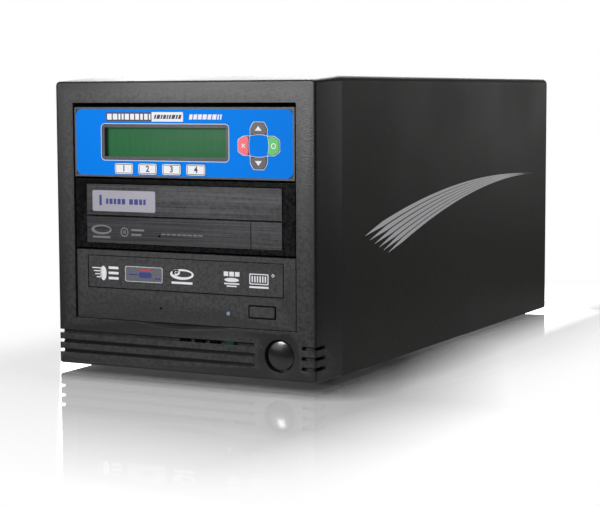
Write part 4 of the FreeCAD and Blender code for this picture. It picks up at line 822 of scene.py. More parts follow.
def rounded(across: float, up: float, width: float, height: float, radius: float,
            steps: int = 6) -> Outline:
    """A rectangle with round corners.

    Args:
        across: Its middle.
        up: Its middle height.
        width: Its width.
        height: Its height.
        radius: Its corners' radius.
        steps: Faces round each corner.

    Returns:
        The outline.
    """
    points = []
    for quarter, (sx, sz) in enumerate(((1, 1), (-1, 1), (-1, -1), (1, -1))):
        for step in range(steps + 1):
            angle = math.pi / 2 * (quarter + step / steps)
            points.append((across + sx * (width / 2 - radius) + radius * math.cos(angle),
                           up + sz * (height / 2 - radius) + radius * math.sin(angle)))
    return points


def frames(across: float, up: float, width: float, height: float, radius: float,
           grows: Sequence[float]) -> Ring:
    """Rounded outlines about one middle, each grown by its own amount, corners too."""
    return tuple(rounded(across, up, width + 2 * grow, height + 2 * grow, radius + grow)
                 for grow in grows)


def oval(across: float, up: float, width: float, height: float, steps: int = 28) -> Outline:
    """An ellipse's outline, with so many points."""
    return [(across + width / 2 * math.cos(math.tau * step / steps),
             up + height / 2 * math.sin(math.tau * step / steps)) for step in range(steps)]


def bar(across: float, up: float, width: float, height: float) -> Outline:
    """A plain rectangle's outline about its middle."""
    return [(across + a * width / 2, up + u * height / 2)
            for a, u in ((-1, -1), (1, -1), (1, 1), (-1, 1))]


def raised(shape: Callable[..., Outline], up: float, rows: Iterable[Sequence[float]]) -> list[Outline]:
    """Outlines of one kind from rows of numbers whose heights count from a given one."""
    return [shape(across, up + rise, *sizes) for across, rise, *sizes in rows]


def lettering(start: float, end: float, up: float, height: float, slant: float = 0.0,
              seed: int = 1) -> list[Outline]:
    """Plain upright blocks in a row, as wide and as dense as a word, that spell nothing.

    Args:
        start: Where the row starts.
        end: Where it ends.
        up: Its middle height.
        height: The blocks' height.
        slant: How far each block leans over its height.
        seed: Picks the blocks' widths.

    Returns:
        The blocks' outlines.
    """
    chance = random.Random(seed)
    blocks = []
    place = start
    while place < end - height * BLOCK_END:
        wide = min(height * chance.uniform(*BLOCK_WIDTHS), end - place)
        low, high = up - height / 2, up + height / 2
        blocks.append([(place, low), (place + wide, low), (place + wide + slant, high),
                       (place + slant, high)])
        place += wide + height * BLOCK_GAP
    return blocks


class GeometryTrees:
    """The geometry node trees that repeat pieces, each built once."""

    INPUTS: ClassVar[dict[str, tuple]] = {
        "scatter": (("Part", "Object"), ("Spin", "Float"), ("Seed", "Int")),
        "radial": (("Count", "Int"),),
        "tiles": (("Columns", "Int"), ("Rows", "Int"), ("Pitch Across", "Float"),
                  ("Pitch Up", "Float"), ("Tile Width", "Float"), ("Tile Height", "Float"),
                  ("Least Size", "Float"), ("Seed", "Int")),
    }

    def __init__(self) -> None:
        """Starts with no tree."""
        self.trees: dict[str, Tree] = {}

    def tree(self, name: str) -> Tree:
        """The tree of that name, built when it is first asked for.

        Args:
            name: One of scatter, radial and tiles.

        Returns:
            The tree, which makes its copies real and gives them their material.
        """
        if name not in self.trees:
            tree = bpy.data.node_groups.new(name, "GeometryNodeTree")
            for label, kind in (("Geometry", "Geometry"), *self.INPUTS[name], ("Material", "Material")):
                tree.interface.new_socket(label, in_out="INPUT", socket_type="NodeSocket" + kind)
            tree.interface.new_socket("Geometry", in_out="OUTPUT", socket_type="NodeSocketGeometry")
            wires = Wiring(tree)
            given = wires.add("NodeGroupInput").outputs
            feeds = getattr(self, "_" + name)(wires, given)
            copies = wires.add("GeometryNodeInstanceOnPoints", feeds).outputs[0]
            real = wires.add("GeometryNodeRealizeInstances", {"Geometry": copies}).outputs[0]
            feeds = {"Geometry": real, "Material": given["Material"]}
            coated = wires.add("GeometryNodeSetMaterial", feeds).outputs[0]
            wires.add("NodeGroupOutput", {"Geometry": coated})
            self.trees[name] = tree
        return self.trees[name]

    def _scatter(self, wires: Wiring, given: bpy.types.NodeOutputs) -> dict[str, Socket]:
        """A part on each point, turned as the point's facing says and spun at random.

        Args:
            wires: The tree's wiring.
            given: The tree's inputs.

        Returns:
            What the node that makes the copies is fed.
        """
        part = wires.add("GeometryNodeObjectInfo", {"Object": given["Part"]})
        facing = wires.add("GeometryNodeInputNamedAttribute", {"Name": "facing"},
                           data_type="FLOAT_VECTOR")
        turn = wires.add("FunctionNodeEulerToRotation", {0: facing.outputs["Attribute"]}).outputs[0]
        chance = wires.add("FunctionNodeRandomValue", {2: 0.0, 3: given["Spin"], "Seed": given["Seed"]},
                           data_type="FLOAT")
        feeds = {0: turn, 1: wires.turned(Z=chance.outputs[1])}
        both = wires.add("FunctionNodeRotateRotation", feeds, rotation_space="LOCAL")
        return {"Points": given["Geometry"], "Instance": part.outputs["Geometry"],
                "Rotation": both.outputs[0]}

    def _radial(self, wires: Wiring, given: bpy.types.NodeOutputs) -> dict[str, Socket]:
        """Copies of the input geometry round the Y direction, at even angles.

        Args:
            wires: The tree's wiring.
            given: The tree's inputs.

        Returns:
            What the node that makes the copies is fed.
        """
        index = wires.add("GeometryNodeInputIndex").outputs[0]
        angle = wires.times(wires.math("DIVIDE", index, given["Count"]), math.tau)
        whole = wires.add("GeometryNodeGeometryToInstance", {"Geometry": given["Geometry"]})
        return {"Points": wires.add("GeometryNodePoints", {"Count": given["Count"]}).outputs[0],
                "Instance": whole.outputs[0], "Rotation": wires.turned(Y=angle)}

    def _tiles(self, wires: Wiring, given: bpy.types.NodeOutputs) -> dict[str, Socket]:
        """Flat tiles in rows on the XY plane, each a little smaller at random.

        Args:
            wires: The tree's wiring.
            given: The tree's inputs.

        Returns:
            What the node that makes the copies is fed.
        """
        wide, tall = [wires.times(given[pitch], wires.less(given[count], 1.0))
                      for pitch, count in (("Pitch Across", "Columns"), ("Pitch Up", "Rows"))]
        feeds = {"Vertices X": given["Columns"], "Vertices Y": given["Rows"], "Size X": wide,
                 "Size Y": tall}
        grid = wires.add("GeometryNodeMeshGrid", feeds).outputs["Mesh"]
        tile = wires.add("GeometryNodeMeshCircle", {"Vertices": 4, "Radius": math.sqrt(0.5)},
                         fill_type="NGON").outputs["Mesh"]
        square = wires.add("GeometryNodeTransform",
                           {"Geometry": tile, "Rotation": wires.joined(Z=math.pi / 4)}).outputs[0]
        size = wires.joined(X=given["Tile Width"], Y=given["Tile Height"], Z=1.0)
        shaped = wires.add("GeometryNodeTransform", {"Geometry": square, "Scale": size}).outputs[0]
        chance = wires.add("FunctionNodeRandomValue",
                           {2: given["Least Size"], 3: 1.0, "Seed": given["Seed"]}, data_type="FLOAT")
        return {"Points": grid, "Instance": shaped, "Scale": chance.outputs[1]}

    def run(self, name: str, source: Piece, tree: str, values: dict[str, object],
            placing: Matrix | None = None) -> Piece:
        """Runs a tree on an object and keeps the result as a plain mesh.

        Args:
            name: The new object's name.
            source: The object that holds the input geometry, which is removed.
            tree: The tree's name.
            values: The tree's inputs by name.
            placing: A transform for the result, or None.

        Returns:
            The new object.
        """
        modifier = source.modifiers.new("tree", "NODES")
        modifier.node_group = self.tree(tree)
        for item in modifier.node_group.interface.items_tree:
            if item.in_out == "INPUT" and item.name in values:
                modifier[item.identifier] = values[item.name]
        mesh = evaluated_mesh(source)
        source.modifiers.remove(modifier)
        bpy.data.objects.remove(source)
        mesh.name = name
        if placing is not None:
            mesh.transform(placing)
        return link(bpy.data.objects.new(name, mesh))

    @staticmethod
    def points(places: Sequence[Vector], turn: Sequence[float]) -> Piece:
        """A mesh of loose points that carry the way that their parts face.

        Args:
            places: The points; with none, the mesh is empty.
            turn: Three angles that turn each part.

        Returns:
            The object.
        """
        mesh = bpy.data.meshes.new("places")
        mesh.from_pydata([tuple(place) for place in places], [], [])
        facing = mesh.attributes.new("facing", "FLOAT_VECTOR", "POINT")
        facing.data.foreach_set("vector", list(turn) * len(places))
        return link(bpy.data.objects.new("places", mesh))


class Shop:
    """What every sub-assembly works with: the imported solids, the finishes and the trees."""

    def __init__(self, frame: dict) -> None:
        """Keeps the loaded frame.
        """
        self.nodes: dict[str, Piece] = frame["nodes"]
        self.effects = Effects()
        self.trees = GeometryTrees()
        self.materials: dict[str, bpy.types.Material] = {}

    def material(self, finish: Finish) -> bpy.types.Material:
        """The finish's material, built when it is first asked for.

        Args:
            finish: The finish.

        Returns:
            The material.
        """
        if finish.name not in self.materials:
            self.materials[finish.name] = finish.build(self.effects)
        return self.materials[finish.name]

    def box(self, node: str) -> tuple[Vector, Vector]:
        """Lowest and highest corner of a solid."""
        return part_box(node)

    def front(self, node: str) -> float:
        """Depth of a print's near face on a solid's front."""
        return self.box(node)[0].y - PRINT_RISE

    def cap(self, node: str) -> tuple[float, float, float, float]:
        """Across, up, width and height of a solid's front face, without its flange.

        Args:
            node: The solid's name.

        Returns:
            The four numbers.
        """
        limit = self.box(node)[0].y + FACE_DEPTH
        verts = [vert.co for vert in self.nodes[node].data.vertices if vert.co.y < limit]
        low_x, high_x = min(v.x for v in verts), max(v.x for v in verts)
        low_z, high_z = min(v.z for v in verts), max(v.z for v in verts)
        return (low_x + high_x) / 2, (low_z + high_z) / 2, high_x - low_x, high_z - low_z

    def place(self, piece: Piece, finish: Finish, body: str = "tower",
              replaces: Sequence[str] = ()) -> None:
        """Finishes a new piece: its material, its body and what it stands for.

        Args:
            piece: The piece.
            finish: Its finish.
            body: The body that it rides on.
            replaces: Solids that it stands for.
        """
        piece.data.materials.clear()
        piece.data.materials.append(self.material(finish))
        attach(piece, body)
        if replaces:
            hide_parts(*replaces)
        LOG.info("made %s on %s", piece.name, body)

    def stamp(self, name: str, shapes: Iterable[Outline | Ring], near: float, finish: Finish,
              body: str = "tower", thickness: float = PRINT_THICKNESS) -> None:
        """Lays flat plates and rings on a front.

        Args:
            name: The new piece's name.
            shapes: Their outlines, or pairs of outlines.
            near: Depth of the face that is seen.
            finish: Their finish.
            body: The body that they ride on.
            thickness: How thick they are.
        """
        self.place(Shaper.flat(name, shapes, Facing.FRONT, near, thickness), finish, body)

    def soften(self, node: str, finish: Finish, width: float, segments: int = 2) -> None:
        """Stands a copy with rounded edges in for a solid.

        Args:
            node: The solid's name.
            finish: Its finish.
            width: How wide its edges' rounding is.
            segments: Faces round an edge.
        """
        body = body_of(self.nodes[node])[0]
        piece = Shaper.softened(self.nodes[node], width, segments)
        self.place(piece, finish, body, replaces=[node])

    def dress(self, node: str, finish: Finish) -> None:
        """Gives a solid that stays as it is its finish.

        Args:
            node: The solid's name.
            finish: Its finish.
        """
        piece = self.nodes[node]
        material = self.material(finish)
        if not piece.material_slots:
            piece.data.materials.append(material)
        for slot in piece.material_slots:
            slot.material = material
        LOG.info("dressed %s", node)


@dataclass
class Assembly:
    """Solids that get their finishes, softened or as they are, and what is added to them."""

    shop: Shop
    softened: ClassVar[Sequence[tuple]] = ()
    dressed: ClassVar[dict[str, Finish]] = {}

    def build(self) -> None:
        """Finishes the solids, then adds the details."""
        for row in self.softened:
            self.shop.soften(*row)
        for node, finish in self.dressed.items():
            self.shop.dress(node, finish)
        self.details()

    def details(self) -> None:
        """Adds nothing: the solids are all there is."""


@dataclass
class Case(Assembly):
    """The folded cover, the floor, the back and the feet."""

    softened: ClassVar[Sequence[tuple]] = (
        ("top_cover", POWDER_COAT, 0.00022), ("rear_panel", BARE_STEEL, 0.00011),
        ("base_pan", POWDER_COAT, 0.00011))
    dressed: ClassVar[dict[str, Finish]] = {"front_plate": BARE_STEEL, "bay_brackets": BARE_STEEL}
    foot_radius: float = 0.007
    foot_height: float = 0.003
    foot_hollow: float = 0.0024
    foot_steps: int = 40
    hollow_shares: tuple[Pair, ...] = ((0, 0.5), (1, 0.5), (1, 0.12), (1.2, 0))
    rim_shares: tuple[Pair, ...] = (
        (0.78, 0), (0.86, 0.1), (1, 0.85), (0.98, 1), (0, 1))

    def details(self) -> None:
        """Turns one foot with a rounded rim and a screw hollow, and puts it at the four places."""
        radius, height = self.foot_radius, self.foot_height
        profile = [(self.foot_hollow * a, height * u) for a, u in self.hollow_shares]
        profile += [(radius * a, height * u) for a, u in self.rim_shares]
        foot = Shaper.lathe("foot", profile, (0, 0, 0), Facing.UNDER, self.foot_steps)
        low, high = self.shop.box("rubber_feet")
        places = [Vector((x, y, 0)) for x in (low.x + radius, high.x - radius)
                  for y in (low.y + radius, high.y - radius)]
        trees = self.shop.trees
        values = {"Part": foot, "Spin": 0.0, "Seed": 1, "Material": self.shop.material(RUBBER)}
        feet = trees.run("feet", trees.points(places, (0, 0, 0)), "scatter", values)
        bpy.data.objects.remove(foot)
        self.shop.place(feet, RUBBER, replaces=["rubber_feet"])


@dataclass
class Fasteners(Assembly):
    """The screws at the back and in the cage, with a cross recess in each head."""

    dressed: ClassVar[dict[str, Finish]] = {"bay_screws": BLACK_SCREW}
    head_radius: float = 0.0029
    head_height: float = 0.0018
    head_shares: tuple[Pair, ...] = (
        (0, 1), (0.35, 0.98), (0.62, 0.86), (0.76, 0.62), (0.8, 0.3), (0.98, 0.26), (1, 0.14), (1, 0),
        (0, 0))
    recess_width: float = 0.0007
    recess_length: float = 0.0034
    recess_depth: float = 0.0011
    head_tilt: float = -90.0
    steps: int = 24
    seed: int = 7

    def details(self) -> None:
        """Makes one screw head and puts it on each screw's place at the back."""
        head = self.head()
        trees = self.shop.trees
        source = trees.points(self.bases("rear_screws"), (math.radians(self.head_tilt), 0, 0))
        values = {"Part": head, "Spin": math.tau, "Seed": self.seed,
                  "Material": self.shop.material(BLACK_SCREW)}
        heads = trees.run("rear_screw_heads", source, "scatter", values)
        bpy.data.objects.remove(head)
        self.shop.place(heads, BLACK_SCREW, replaces=["rear_screws"])

    def head(self) -> Piece:
        """A pan head on a flange, its top towards +Z, with a cross cut into it.

        Returns:
            The head's object.
        """
        profile = [(self.head_radius * a, -self.head_height * u) for a, u in self.head_shares]
        solid = Shaper.lathe("screw_head", profile, (0, 0, 0), Facing.TOP, self.steps)
        arms = [Shaper.flat("arm", [bar(0, 0, wide, tall)], Facing.TOP,
                            -self.head_height - self.recess_depth, 2 * self.recess_depth)
                for wide, tall in ((self.recess_length, self.recess_width),
                                   (self.recess_width, self.recess_length))]
        for arm in arms:
            cut = solid.modifiers.new("recess", "BOOLEAN")
            cut.operation = "DIFFERENCE"
            cut.solver = "EXACT"
            cut.object = arm
        made = link(bpy.data.objects.new("screw_part", evaluated_mesh(solid)))
        for piece in (*arms, solid):
            bpy.data.objects.remove(piece)
        return made

    def bases(self, node: str) -> list[Vector]:
        """The middle of each screw's head where it meets the sheet.

        Args:
            node: The solid that holds the screws.

        Returns:
            The places.
        """
        work = bmesh.new()
        work.from_mesh(self.shop.nodes[node].data)
        bmesh.ops.remove_doubles(work, verts=work.verts, dist=WELD)
        left = set(work.verts)
        places = []
        for start in work.verts:
            if start not in left:
                continue
            left.remove(start)
            front, island = [start], [start]
            while front:
                for edge in front.pop().link_edges:
                    fresh = [vert for vert in edge.verts if vert in left]
                    left.difference_update(fresh)
                    front += fresh
                    island += fresh
            top = max(vert.co.y for vert in island)
            face = [vert.co for vert in island if vert.co.y > top - self.head_height / 2]
            middle = sum(face, Vector()) / len(face)
            places.append(Vector((middle.x, top - self.head_height, middle.z)))
        work.free()
        return places


@dataclass
class FrontBezel(Assembly):
    """The moulded front with its lamps and its power button."""

    softened: ClassVar[Sequence[tuple]] = (
        ("front_bezel", BEZEL, 0.00035), ("status_windows", DARK_WINDOW_AND_PAINTED_SHADE, 0.00015),
        ("power_window", GREEN_WINDOW, 0.00015))
    dressed: ClassVar[dict[str, Finish]] = {"power_switch": CONNECTOR}
    button_radius: float = 0.00865
    button_steps: int = 64
    dome_rise: float = 0.0013
    dome_share: float = 0.955
    dome_steps: int = 12
    rim_shares: tuple[Pair, ...] = ((0.985, 1.05), (1, 1.5))
    flange_reach: float = 0.0016
    flange_depths: Pair = (0.0048, 0.006)
    stem_radius: float = 0.0025

    def details(self) -> None:
        """Turns the domed button with a soft rim, its flange and its stem."""
        low, high = self.shop.box("power_button")
        middle = (low + high) / 2
        radius, rise, depth = self.button_radius, self.dome_rise, high.y - low.y
        ball = (radius ** 2 + rise ** 2) / (2 * rise)
        profile = [(0, 0)]
        for step in range(1, self.dome_steps + 1):
            reach = radius * self.dome_share * step / self.dome_steps
            profile.append((reach, ball - math.sqrt(ball ** 2 - reach ** 2)))
        near, far = self.flange_depths
        flange = radius + self.flange_reach
        profile += [(radius * a, rise * u) for a, u in self.rim_shares]
        profile += [(radius, near), (flange, near), (flange, far), (self.stem_radius, far),
                    (self.stem_radius, depth), (0, depth)]
        piece = Shaper.lathe("power_button_cap", profile, (middle.x, middle.z, low.y), Facing.FRONT,
                             self.button_steps)
        self.shop.place(piece, BUTTON, "power_button", ["power_button"])


@dataclass
class ControlPanel(Assembly):
    """The blue panel: its plate, overlay, display, keys, the prints round them, and painted shade in
    the gaps round the keys.
    """

    MODE_KEYS: ClassVar[tuple[str, ...]] = ("key_one", "key_two", "key_three", "key_four")
    CROSS_KEYS: ClassVar[dict[str, tuple[float, Finish]]] = {
        "key_up": (0.0, KEY_DARK), "key_confirm": (90.0, KEY_GREEN), "key_down": (180.0, KEY_DARK),
        "key_cancel": (270.0, KEY_RED)}
    softened: ClassVar[Sequence[tuple]] = (
        ("panel_face", PANEL, 0.00025), ("panel_overlay", OVERLAY, 0.00012),
        ("display_glass", DISPLAY, 0.0001),
        *((key, KEY_WHITE, 0.0004, 3) for key in MODE_KEYS),
        *((key, finish, 0.0004, 3) for key, (_, finish) in CROSS_KEYS.items()))
    dressed: ClassVar[dict[str, Finish]] = {"panel_board": BOARD, "controller_board": BOARD,
                                            "panel_carrier": BARE_STEEL}
    line: float = 0.00036
    rim_line: float = 0.000432
    key_gap: float = 0.00014
    ring_inset: float = 0.00046
    ring_clear: float = 0.00003
    mode_radius: float = 0.0014
    rim: tuple[float, ...] = (-0.0116, 0.1371, 0.0864, 0.0210, 0.0022)
    digit_size: float = 0.0050
    mark_size: float = 0.0036
    cross_reach: float = 0.0095
    cross_length: float = 0.0104
    cross_depth: float = 0.0072
    cross_outer_share: float = 0.62
    cross_dish: float = 0.0008
    dish_steps: int = 8
    ease_reach: float = 0.00098
    ease_steps: int = 4
    straight: float = 0.3
    title_x: Pair = (-0.0514, 0.0277)
    title_z: float = 0.1519
    title_height: float = 0.0052
    title_radius: float = 0.0004
    title_stop_shares: Triple = (0.4, 0.67, 0.72)
    title_gap_share: float = 0.14
    title_box_share: float = 1.06
    word_row: tuple[float, float, int] = (0.56, 0.1, 5)
    plate_row: tuple[float, float, int] = (0.66, 0.0, 2)
    box_row: tuple[float, float, int] = (0.46, 0.14, 8)
    arrow_shares: Triple = (0.62, 0.34, 0.42)
    cross_shares: Pair = (0.42, 0.08)
    circle_shares: Pair = (0.9, 0.6)
    cell_counts: tuple[int, int] = (16, 2)
    cells_share: Pair = (0.86, 0.62)
    cell_share: Pair = (0.8, 0.86)
    cell_least: float = 0.97
    cell_seed: int = 3

    def details(self) -> None:
        """Lays the display's cells and the prints."""
        self.display_cells()
        self.outlines()
        self.title()
        self.digits()
        self.marks()

    def display_cells(self) -> None:
        """Lays the faint character cells on the display's glass."""
        low, high = self.shop.box("display_glass")
        columns, rows = self.cell_counts
        pitch = (high.x - low.x) * self.cells_share[0] / columns
        rise = (high.z - low.z) * self.cells_share[1] / rows
        values = {"Columns": columns, "Rows": rows, "Pitch Across": pitch, "Pitch Up": rise,
                  "Tile Width": pitch * self.cell_share[0], "Tile Height": rise * self.cell_share[1],
                  "Least Size": self.cell_least, "Seed": self.cell_seed,
                  "Material": self.shop.material(CELL)}
        middle = (low + high) / 2
        placing = Facing.FRONT.matrix(middle.x, middle.z, low.y - PRINT_RISE)
        trees = self.shop.trees
        source = trees.points((), (0, 0, 0))
        self.shop.place(trees.run("display_cells", source, "tiles", values, placing), CELL)

    def cross_outline(self, turn: float, grow: float) -> Outline:
        """The outline of one cross key.

        Args:
            turn: Its angle round the cross, in degrees.
            grow: How far outside the key it runs.

        Returns:
            The outline.
        """
        wide = self.cross_length / 2 + grow
        narrow = wide * self.cross_outer_share
        inner = self.cross_reach - self.cross_depth / 2 - grow
        outer = self.cross_reach + self.cross_depth / 2 + grow
        knee = outer - self.cross_depth / 2
        sharp = [(-wide, inner), (-wide, knee), (-narrow, outer), (narrow, outer), (wide, knee),
                 (wide, inner)]
        for step in range(1, self.dish_steps):
            share = step / self.dish_steps
            dish = self.cross_dish * 4 * share * (1 - share)
            sharp.append((wide - 2 * wide * share, inner + dish))
        up_low, up_high = self.shop.box("key_up")
        side_low, side_high = self.shop.box("key_confirm")
        centre_x, centre_z = (up_low.x + up_high.x) / 2, (side_low.z + side_high.z) / 2
        angle = math.radians(-turn)
        cosine, sine = math.cos(angle), math.sin(angle)
        return [(centre_x + a * cosine - u * sine, centre_z + a * sine + u * cosine)
                for a, u in self.eased(sharp)]

    def eased(self, sharp: Outline) -> Outline:
        """An outline with its sharp corners rounded off.

        Args:
            sharp: The outline.

        Returns:
            The rounded outline.
        """
        points = []
        for index, corner in enumerate(sharp):
            here = Vector(corner)
            before = Vector(sharp[index - 1]) - here
            after = Vector(sharp[(index + 1) % len(sharp)]) - here
            if math.pi - before.angle(after) < self.straight:
                points.append(tuple(here))
                continue
            start, end = [here + way.normalized() * min(self.ease_reach, way.length / 2)
                          for way in (before, after)]
            for step in range(self.ease_steps + 1):
                share = step / self.ease_steps
                bent = here * (2 * share * (1 - share))
                points.append(tuple(start * (1 - share) ** 2 + bent + end * share ** 2))
        return points

    def outlines(self) -> None:
        """Prints the pale lines round the display's rim and the keys, and lays painted shade: dark
        bands in the gaps round the keys and dark rings on the mode keys' caps.
        """
        near = self.shop.front("panel_overlay")
        gap, line, inset = self.key_gap, self.line, self.ring_inset
        lines, painted_shades = [], []
        for key in self.MODE_KEYS:
            outline = (*self.shop.cap(key), self.mode_radius)
            # Painted shade: a dark band just outside the mode key, where the gap round it is in shadow.
            painted_shades.append(frames(*outline, (gap, self.ring_clear)))
            # Painted shade: a dark ring on the key's cap that stands for the shaded gap round the key.
            ring = frames(*outline, (-inset, -inset - line))
            self.shop.stamp(key + "_ring", [ring], self.shop.front(key), DARK_INK_AND_PAINTED_SHADE, key)
        for turn, _ in self.CROSS_KEYS.values():
            outer, middle, inner = [self.cross_outline(turn, grow)
                                    for grow in (gap + line, gap, self.ring_clear)]
            lines.append((outer, middle))
            # Painted shade: a dark band in the gap round the cross key.
            painted_shades.append((middle, inner))
        lines.append(frames(*self.rim, (self.rim_line, self.ring_clear)))
        self.shop.stamp("panel_lines", lines, near, PALE_INK)
        # The dark bands in the gaps round the keys are painted shade.
        self.shop.stamp("panel_key_shades", painted_shades, near, DARK_INK_AND_PAINTED_SHADE)

    def title(self) -> None:
        """Prints a plate, a white box and rows of plain blocks where a heading would be."""
        near = self.shop.front("panel_overlay")
        (left, right), up, tall = self.title_x, self.title_z, self.title_height
        split, boxed, free = [left + (right - left) * stop for stop in self.title_stop_shares]
        gap, radius = tall * self.title_gap_share, self.title_radius
        dark = rounded((left + split) / 2, up, split - left, tall, radius)
        white = rounded((split + boxed) / 2, up, boxed - split, tall * self.title_box_share, radius)
        words, inner, boxes = [
            lettering(start, end, up, tall * height, tall * slant, seed)
            for start, end, (height, slant, seed) in (
                (free, right - gap, self.word_row), (left + gap, split - gap, self.plate_row),
                (split + 2 * gap, boxed - 2 * gap, self.box_row))]
        stamp = self.shop.stamp
        stamp("panel_title_dark", [dark], near, DARK_INK_AND_PAINTED_SHADE)
        stamp("panel_title_white", [white, *words], near, WHITE_INK)
        stamp("panel_title_blocks", inner, near - PRINT_RISE, WHITE_INK)
        stamp("panel_title_boxed", boxes, near - PRINT_RISE, DARK_INK_AND_PAINTED_SHADE)

    def digits(self) -> None:
        """Prints a plain number on each mode key."""
        for number, key in enumerate(self.MODE_KEYS, start=1):
            piece = Shaper.words(key + "_number", str(number), self.digit_size,
                                 self.shop.cap(key)[:2], self.shop.front(key))
            self.shop.place(piece, DARK_INK_AND_PAINTED_SHADE, key)

    def marks(self) -> None:
        """Prints the arrows, the ring and the cross on the cross keys."""
        wide, low, high = [self.mark_size * share for share in self.arrow_shares]
        arm, half = [self.mark_size * share for share in self.cross_shares]
        turn = math.sqrt(0.5)
        cross = [(half, half), (arm, half), (arm, -half), (half, -half), (half, -arm), (-half, -arm),
                 (-half, -half), (-arm, -half), (-arm, half), (-half, half), (-half, arm), (half, arm)]
        circles = [self.mark_size * share for share in self.circle_shares]
        marks = {"key_up": [[(-wide, -low), (wide, -low), (0, high)]],
                 "key_down": [[(-wide, low), (0, -high), (wide, low)]],
                 "key_confirm": [oval(0, 0, size, size) for size in circles],
                 "key_cancel": [[((a - u) * turn, (a + u) * turn) for a, u in cross]]}
        for key, outlines in marks.items():
            across, up = self.shop.cap(key)[:2]
            moved = [[(across + a, up + u) for a, u in outline] for outline in outlines]
            shapes = moved if len(moved) == 1 else [tuple(moved)]
            self.shop.stamp(key + "_mark", shapes, self.shop.front(key), WHITE_INK, key)


@dataclass
class MasterDrive(Assembly):
    """The master drive's face: gloss surround, brushed plates, label and prints."""

    softened: ClassVar[Sequence[tuple]] = (
        ("master_bezel", GLOSS, 0.0003), ("master_tray_front", BRUSHED, 0.00025, 3),
        ("master_plate", BRUSHED, 0.00025, 3), ("master_eject_button", BRUSHED, 0.00025, 3))
    label: tuple[float, ...] = (-0.0398, 0.1023, 0.0440, 0.0124)
    label_radius: float = 0.001
    label_thickness: float = 0.0001
    number_weight: float = 0.06
    number_share: float = 0.62
    number_place_share: float = -0.37
    row_rise_share: float = -0.02
    row_height_share: float = 0.26
    rows: tuple[tuple[float, float, int], ...] = ((-0.28, 0.04, 3), (0.09, 0.36, 6))
    print_z: float = 0.0841
    RINGS: ClassVar[tuple] = (
        (-0.0558, 0.001, 0.0145, 0.0058), (-0.0553, 0.0012, 0.0112, 0.0036),
        (-0.0395, 0, 0.0056, 0.0056), (-0.0395, 0, 0.0042, 0.0042),
        (-0.0395, 0, 0.002, 0.002), (-0.0395, 0, 0.0009, 0.0009))
    BARS: ClassVar[tuple] = (
        (-0.0558, -0.0034, 0.0125, 0.0011), (-0.0302, 0.0014, 0.009, 0.0011),
        (-0.0312, -0.0014, 0.007, 0.0011),
        *((-0.0125 + step * 0.0036, -0.0004, 0.0028, 0.0008) for step in range(8)))
    ARROW: ClassVar[Outline] = [(0.0508, 0.0858), (0.0530, 0.0858), (0.0519, 0.0876)]
    ARROW_BAR: ClassVar[tuple] = (0.0519, 0.0850, 0.0022, 0.0005)

    def details(self) -> None:
        """Lays the silver label with a plain number, and grey pictograms, on the face."""
        stamp = self.shop.stamp
        across, up, wide, tall = self.label
        near = self.shop.box("master_tray_front")[0].y - self.label_thickness
        plate = rounded(*self.label, self.label_radius)
        stamp("master_label", [plate], near, SILVER_LABEL, "master_tray", self.label_thickness)
        near -= PRINT_RISE
        place = (across + wide * self.number_place_share, up)
        number = Shaper.words("master_label_number", "1", tall * self.number_share, place, near,
                              self.number_weight)
        self.shop.place(number, NAVY_INK, "master_tray")
        blocks = [block for start, end, seed in self.rows
                  for block in lettering(across + wide * start, across + wide * end,
                                         up + tall * self.row_rise_share,
                                         tall * self.row_height_share, seed=seed)]
        stamp("master_label_blocks", blocks, near, NAVY_INK, "master_tray")
        near = self.shop.front("master_plate")
        ovals = raised(oval, self.print_z, self.RINGS)
        stamp("master_print_rings", list(zip(ovals[::2], ovals[1::2])), near, GREY_INK)
        stamp("master_print_bars", raised(bar, self.print_z, self.BARS), near, GREY_INK)
        stamp("master_eject_mark", [self.ARROW, bar(*self.ARROW_BAR)],
              self.shop.front("master_eject_button"), DARK_INK_AND_PAINTED_SHADE, "master_eject_button")


